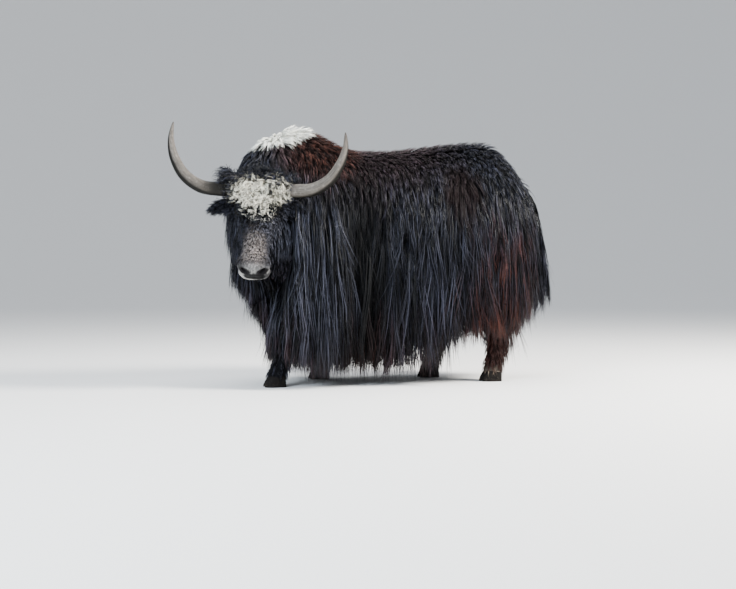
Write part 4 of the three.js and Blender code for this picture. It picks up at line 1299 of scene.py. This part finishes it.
# Where each kind of hair grows
across, back, height = (hide.middles - MIDDLE).T


def at_height(heights):
    low, high = heights
    return (height > low) & (height <= high)


outward = hide.outward[:, 2]
h, level = in_head(hide.middles), in_level(hide.middles)
near_eye = np.linalg.norm(h - mirrored(EYE_PLACE, h[:, 0]), axis=1)
on_ear = ear_part(hide.middles)
on_head = head_part(hide.middles, back=0.085) & ~on_ear
on_tail = (back > TAIL_START) & (np.abs(across) < TAIL_HALF)
on_leg = (height < LEG_TOP) & ~on_head & ~on_tail
on_neck = (back < NECK_START) & ~on_head & ~on_ear & ~on_leg
on_trunk = ~(on_ear | on_head | on_tail | on_leg | on_neck)
curly = on_head & (near_eye > 0.050) & (h[:, 2] > -0.06) & (h[:, 1] > -0.215)
curly &= (h[:, 2] > -0.02) | (h[:, 1] > -0.03)
under_cheek = h[:, 2] < -0.075
muzzle_weight = np.where(h[:, 2] > -0.03, 0.25, 0.0)
face_weight = np.where(on_head & (h[:, 1] < -0.395), muzzle_weight, 1.0)
face_weight = face_weight * (on_head & ~curly) * (near_eye > 0.029) * by(h[:, 1], FACE_WEIGHT_BY_Y)
crown = curly * ease(level[:, 2], -0.01, 0.04)
curls_weight = curly + 0.6 * crown + 2.0 * crown * ease(-level[:, 0], 0.08, 0.12)
skirt_weight = np.where(outward < -0.55, 0.45, 1.0) * (on_trunk & at_height(SKIRTS))
neck_weight = np.where((across > 0.0) & (height < 1.05), 2.2, 1.0)
neck_weight = neck_weight * np.where((outward < -0.55) & (height < 0.7), 1.3, 1.0) * on_neck

SKIRT = dict(per_lock=9, steps=5, width=0.0056, clump=0.72, shortest=0.94, bend=0.07,
             wave=0.008, wave_length=0.22)
NECK_LOCKS = dict(per_lock=8, width=0.0043, clump=0.55, stray=0.010, bend=0.05, wave=0.007,
                  wave_length=0.17, shortest=0.90)
coats = {}
for word, side in SIDES.items():
    mine = np.sign(across + 1e-6) == side
    trunk = on_trunk & mine
    coats["coat_back_" + word] = locks_from(
        np.where(outward > 0.75, 1.5, 1.0) * (trunk & at_height(BACK)), body_habit, 8000,
        per_lock=5, steps=2, width=0.0031, clump=0.2, stray=0.005, bend=0.04, wave=0.001,
    )
    coats["coat_shoulder_" + word] = locks_from(
        1.0 * (trunk & at_height(SHOULDER)), body_habit, 3500,
        per_lock=4, steps=3, width=0.0037, clump=0.3, bend=0.06, wave=0.002,
    )
    coats["coat_flank_" + word] = locks_from(
        1.0 * (trunk & at_height(FLANK)), body_habit, 4900,
        per_lock=7, steps=4, width=0.0042, clump=0.55, stray=0.012, bend=0.10, wave=0.007,
        wave_length=0.16,
    )
    front = back < SKIRTS_MEET
    for end, part, count in (("front", front, 2800), ("rear", ~front, 3300)):
        weight = skirt_weight * (mine & part)
        coats[f"coat_skirt_{end}_{word}"] = locks_from(weight, body_habit, count, **SKIRT)
    # the side that the head turns to has the fuller neck
    count, steps = (4900, 6) if word == "left" else (2400, 5)
    coats["coat_neck_" + word] = locks_from(
        neck_weight * mine, neck_habit, count, steps=steps, **NECK_LOCKS)
    coats["coat_legs_" + word] = locks_from(
        1.0 * (on_leg & mine), leg_habit, 3100, per_lock=6, steps=2, width=0.0038)
coats["coat_tail"] = locks_from(
    1.0 * on_tail, tail_habit, 1700, per_lock=12, steps=5, width=0.0044)
coats["coat_face"] = locks_from(
    face_weight * ~under_cheek, face_habit, 8200,
    per_lock=4, steps=2, width=0.0026, stray=0.02, wave=0.001,
)
coats["coat_cheeks"] = locks_from(
    face_weight * under_cheek, face_habit, 3200,
    per_lock=5, steps=4, width=0.0032, stray=0.012, wave=0.002,
)
coats["coat_ears"] = locks_from(
    1.0 * on_ear, ear_habit, 2600, per_lock=3, steps=2, width=0.0028, stray=0.03, wave=0.001)
coats["coat_curls"] = curls_from(curls_weight, 3700, per_lock=5, steps=7, width=0.0030)

for name, strands in coats.items():
    slot = "face" if name in ("coat_face", "coat_cheeks") else "coat"
    strands_mesh(name, slot, *strands)

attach(skin, "root")
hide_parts("torso", "neck", "head", "tail", "ear_left", "ear_right", *LEGS)

# Plain pale floor that curves up far behind, and soft studio light
FLOOR_RADIUS, COVE_STEPS, COVE_STEP = 14.0, 10, 3.0
start_fresh()
bpy.ops.mesh.primitive_circle_add(vertices=96, radius=FLOOR_RADIUS, fill_type="NGON")
floor = bpy.context.object
floor.name = "floor"
open_up(floor)
bpy.ops.mesh.region_to_loop()
reach = FLOOR_RADIUS
for i in range(COVE_STEPS):
    angle = math.radians(90 * (i + 0.5) / COVE_STEPS)
    rise, run = COVE_STEP * math.sin(angle), COVE_STEP * math.cos(angle)
    bpy.ops.mesh.extrude_edges_move(TRANSFORM_OT_translate={"value": (0, 0, rise)})
    grow = (reach + run) / reach
    bpy.ops.transform.resize(value=(grow, grow, 1), center_override=(0, 0, 0))
    reach += run
close_up()
bpy.ops.object.shade_smooth()
dress([floor], Finish("studio_floor").done((0.78, 0.77, 0.75, 1), 0.9))


def soft_light(name, place, aim, size, power, tint=(1, 1, 1)):
    bpy.ops.object.light_add(type="AREA", location=place)
    light = bpy.context.object
    light.name = name
    light.rotation_euler = (Vector(aim) - Vector(place)).to_track_quat("-Z", "Y").to_euler()
    light.data.size = size
    light.data.energy = power
    light.data.color = tint
    light.visible_camera = False


soft_light("sky_behind", (2.4, 4.4, 4.2), (0, 0.0, 0.8), 1.8, 1500, (1.0, 0.97, 0.92))
soft_light("sky_ahead", (4.5, -4.5, 3.6), (0, -0.2, 0.8), 3.2, 800, (0.78, 0.89, 1.0))
soft_light("sky_above", (-0.5, -0.5, 5.0), (0, 0, 1.0), 4.0, 240)

world = bpy.data.worlds.new("studio")
bpy.context.scene.world = world
world.use_nodes = True
sky = world.node_tree.nodes["Background"].inputs
sky["Color"].default_value = (0.77, 0.83, 0.92, 1)
sky["Strength"].default_value = 1.0
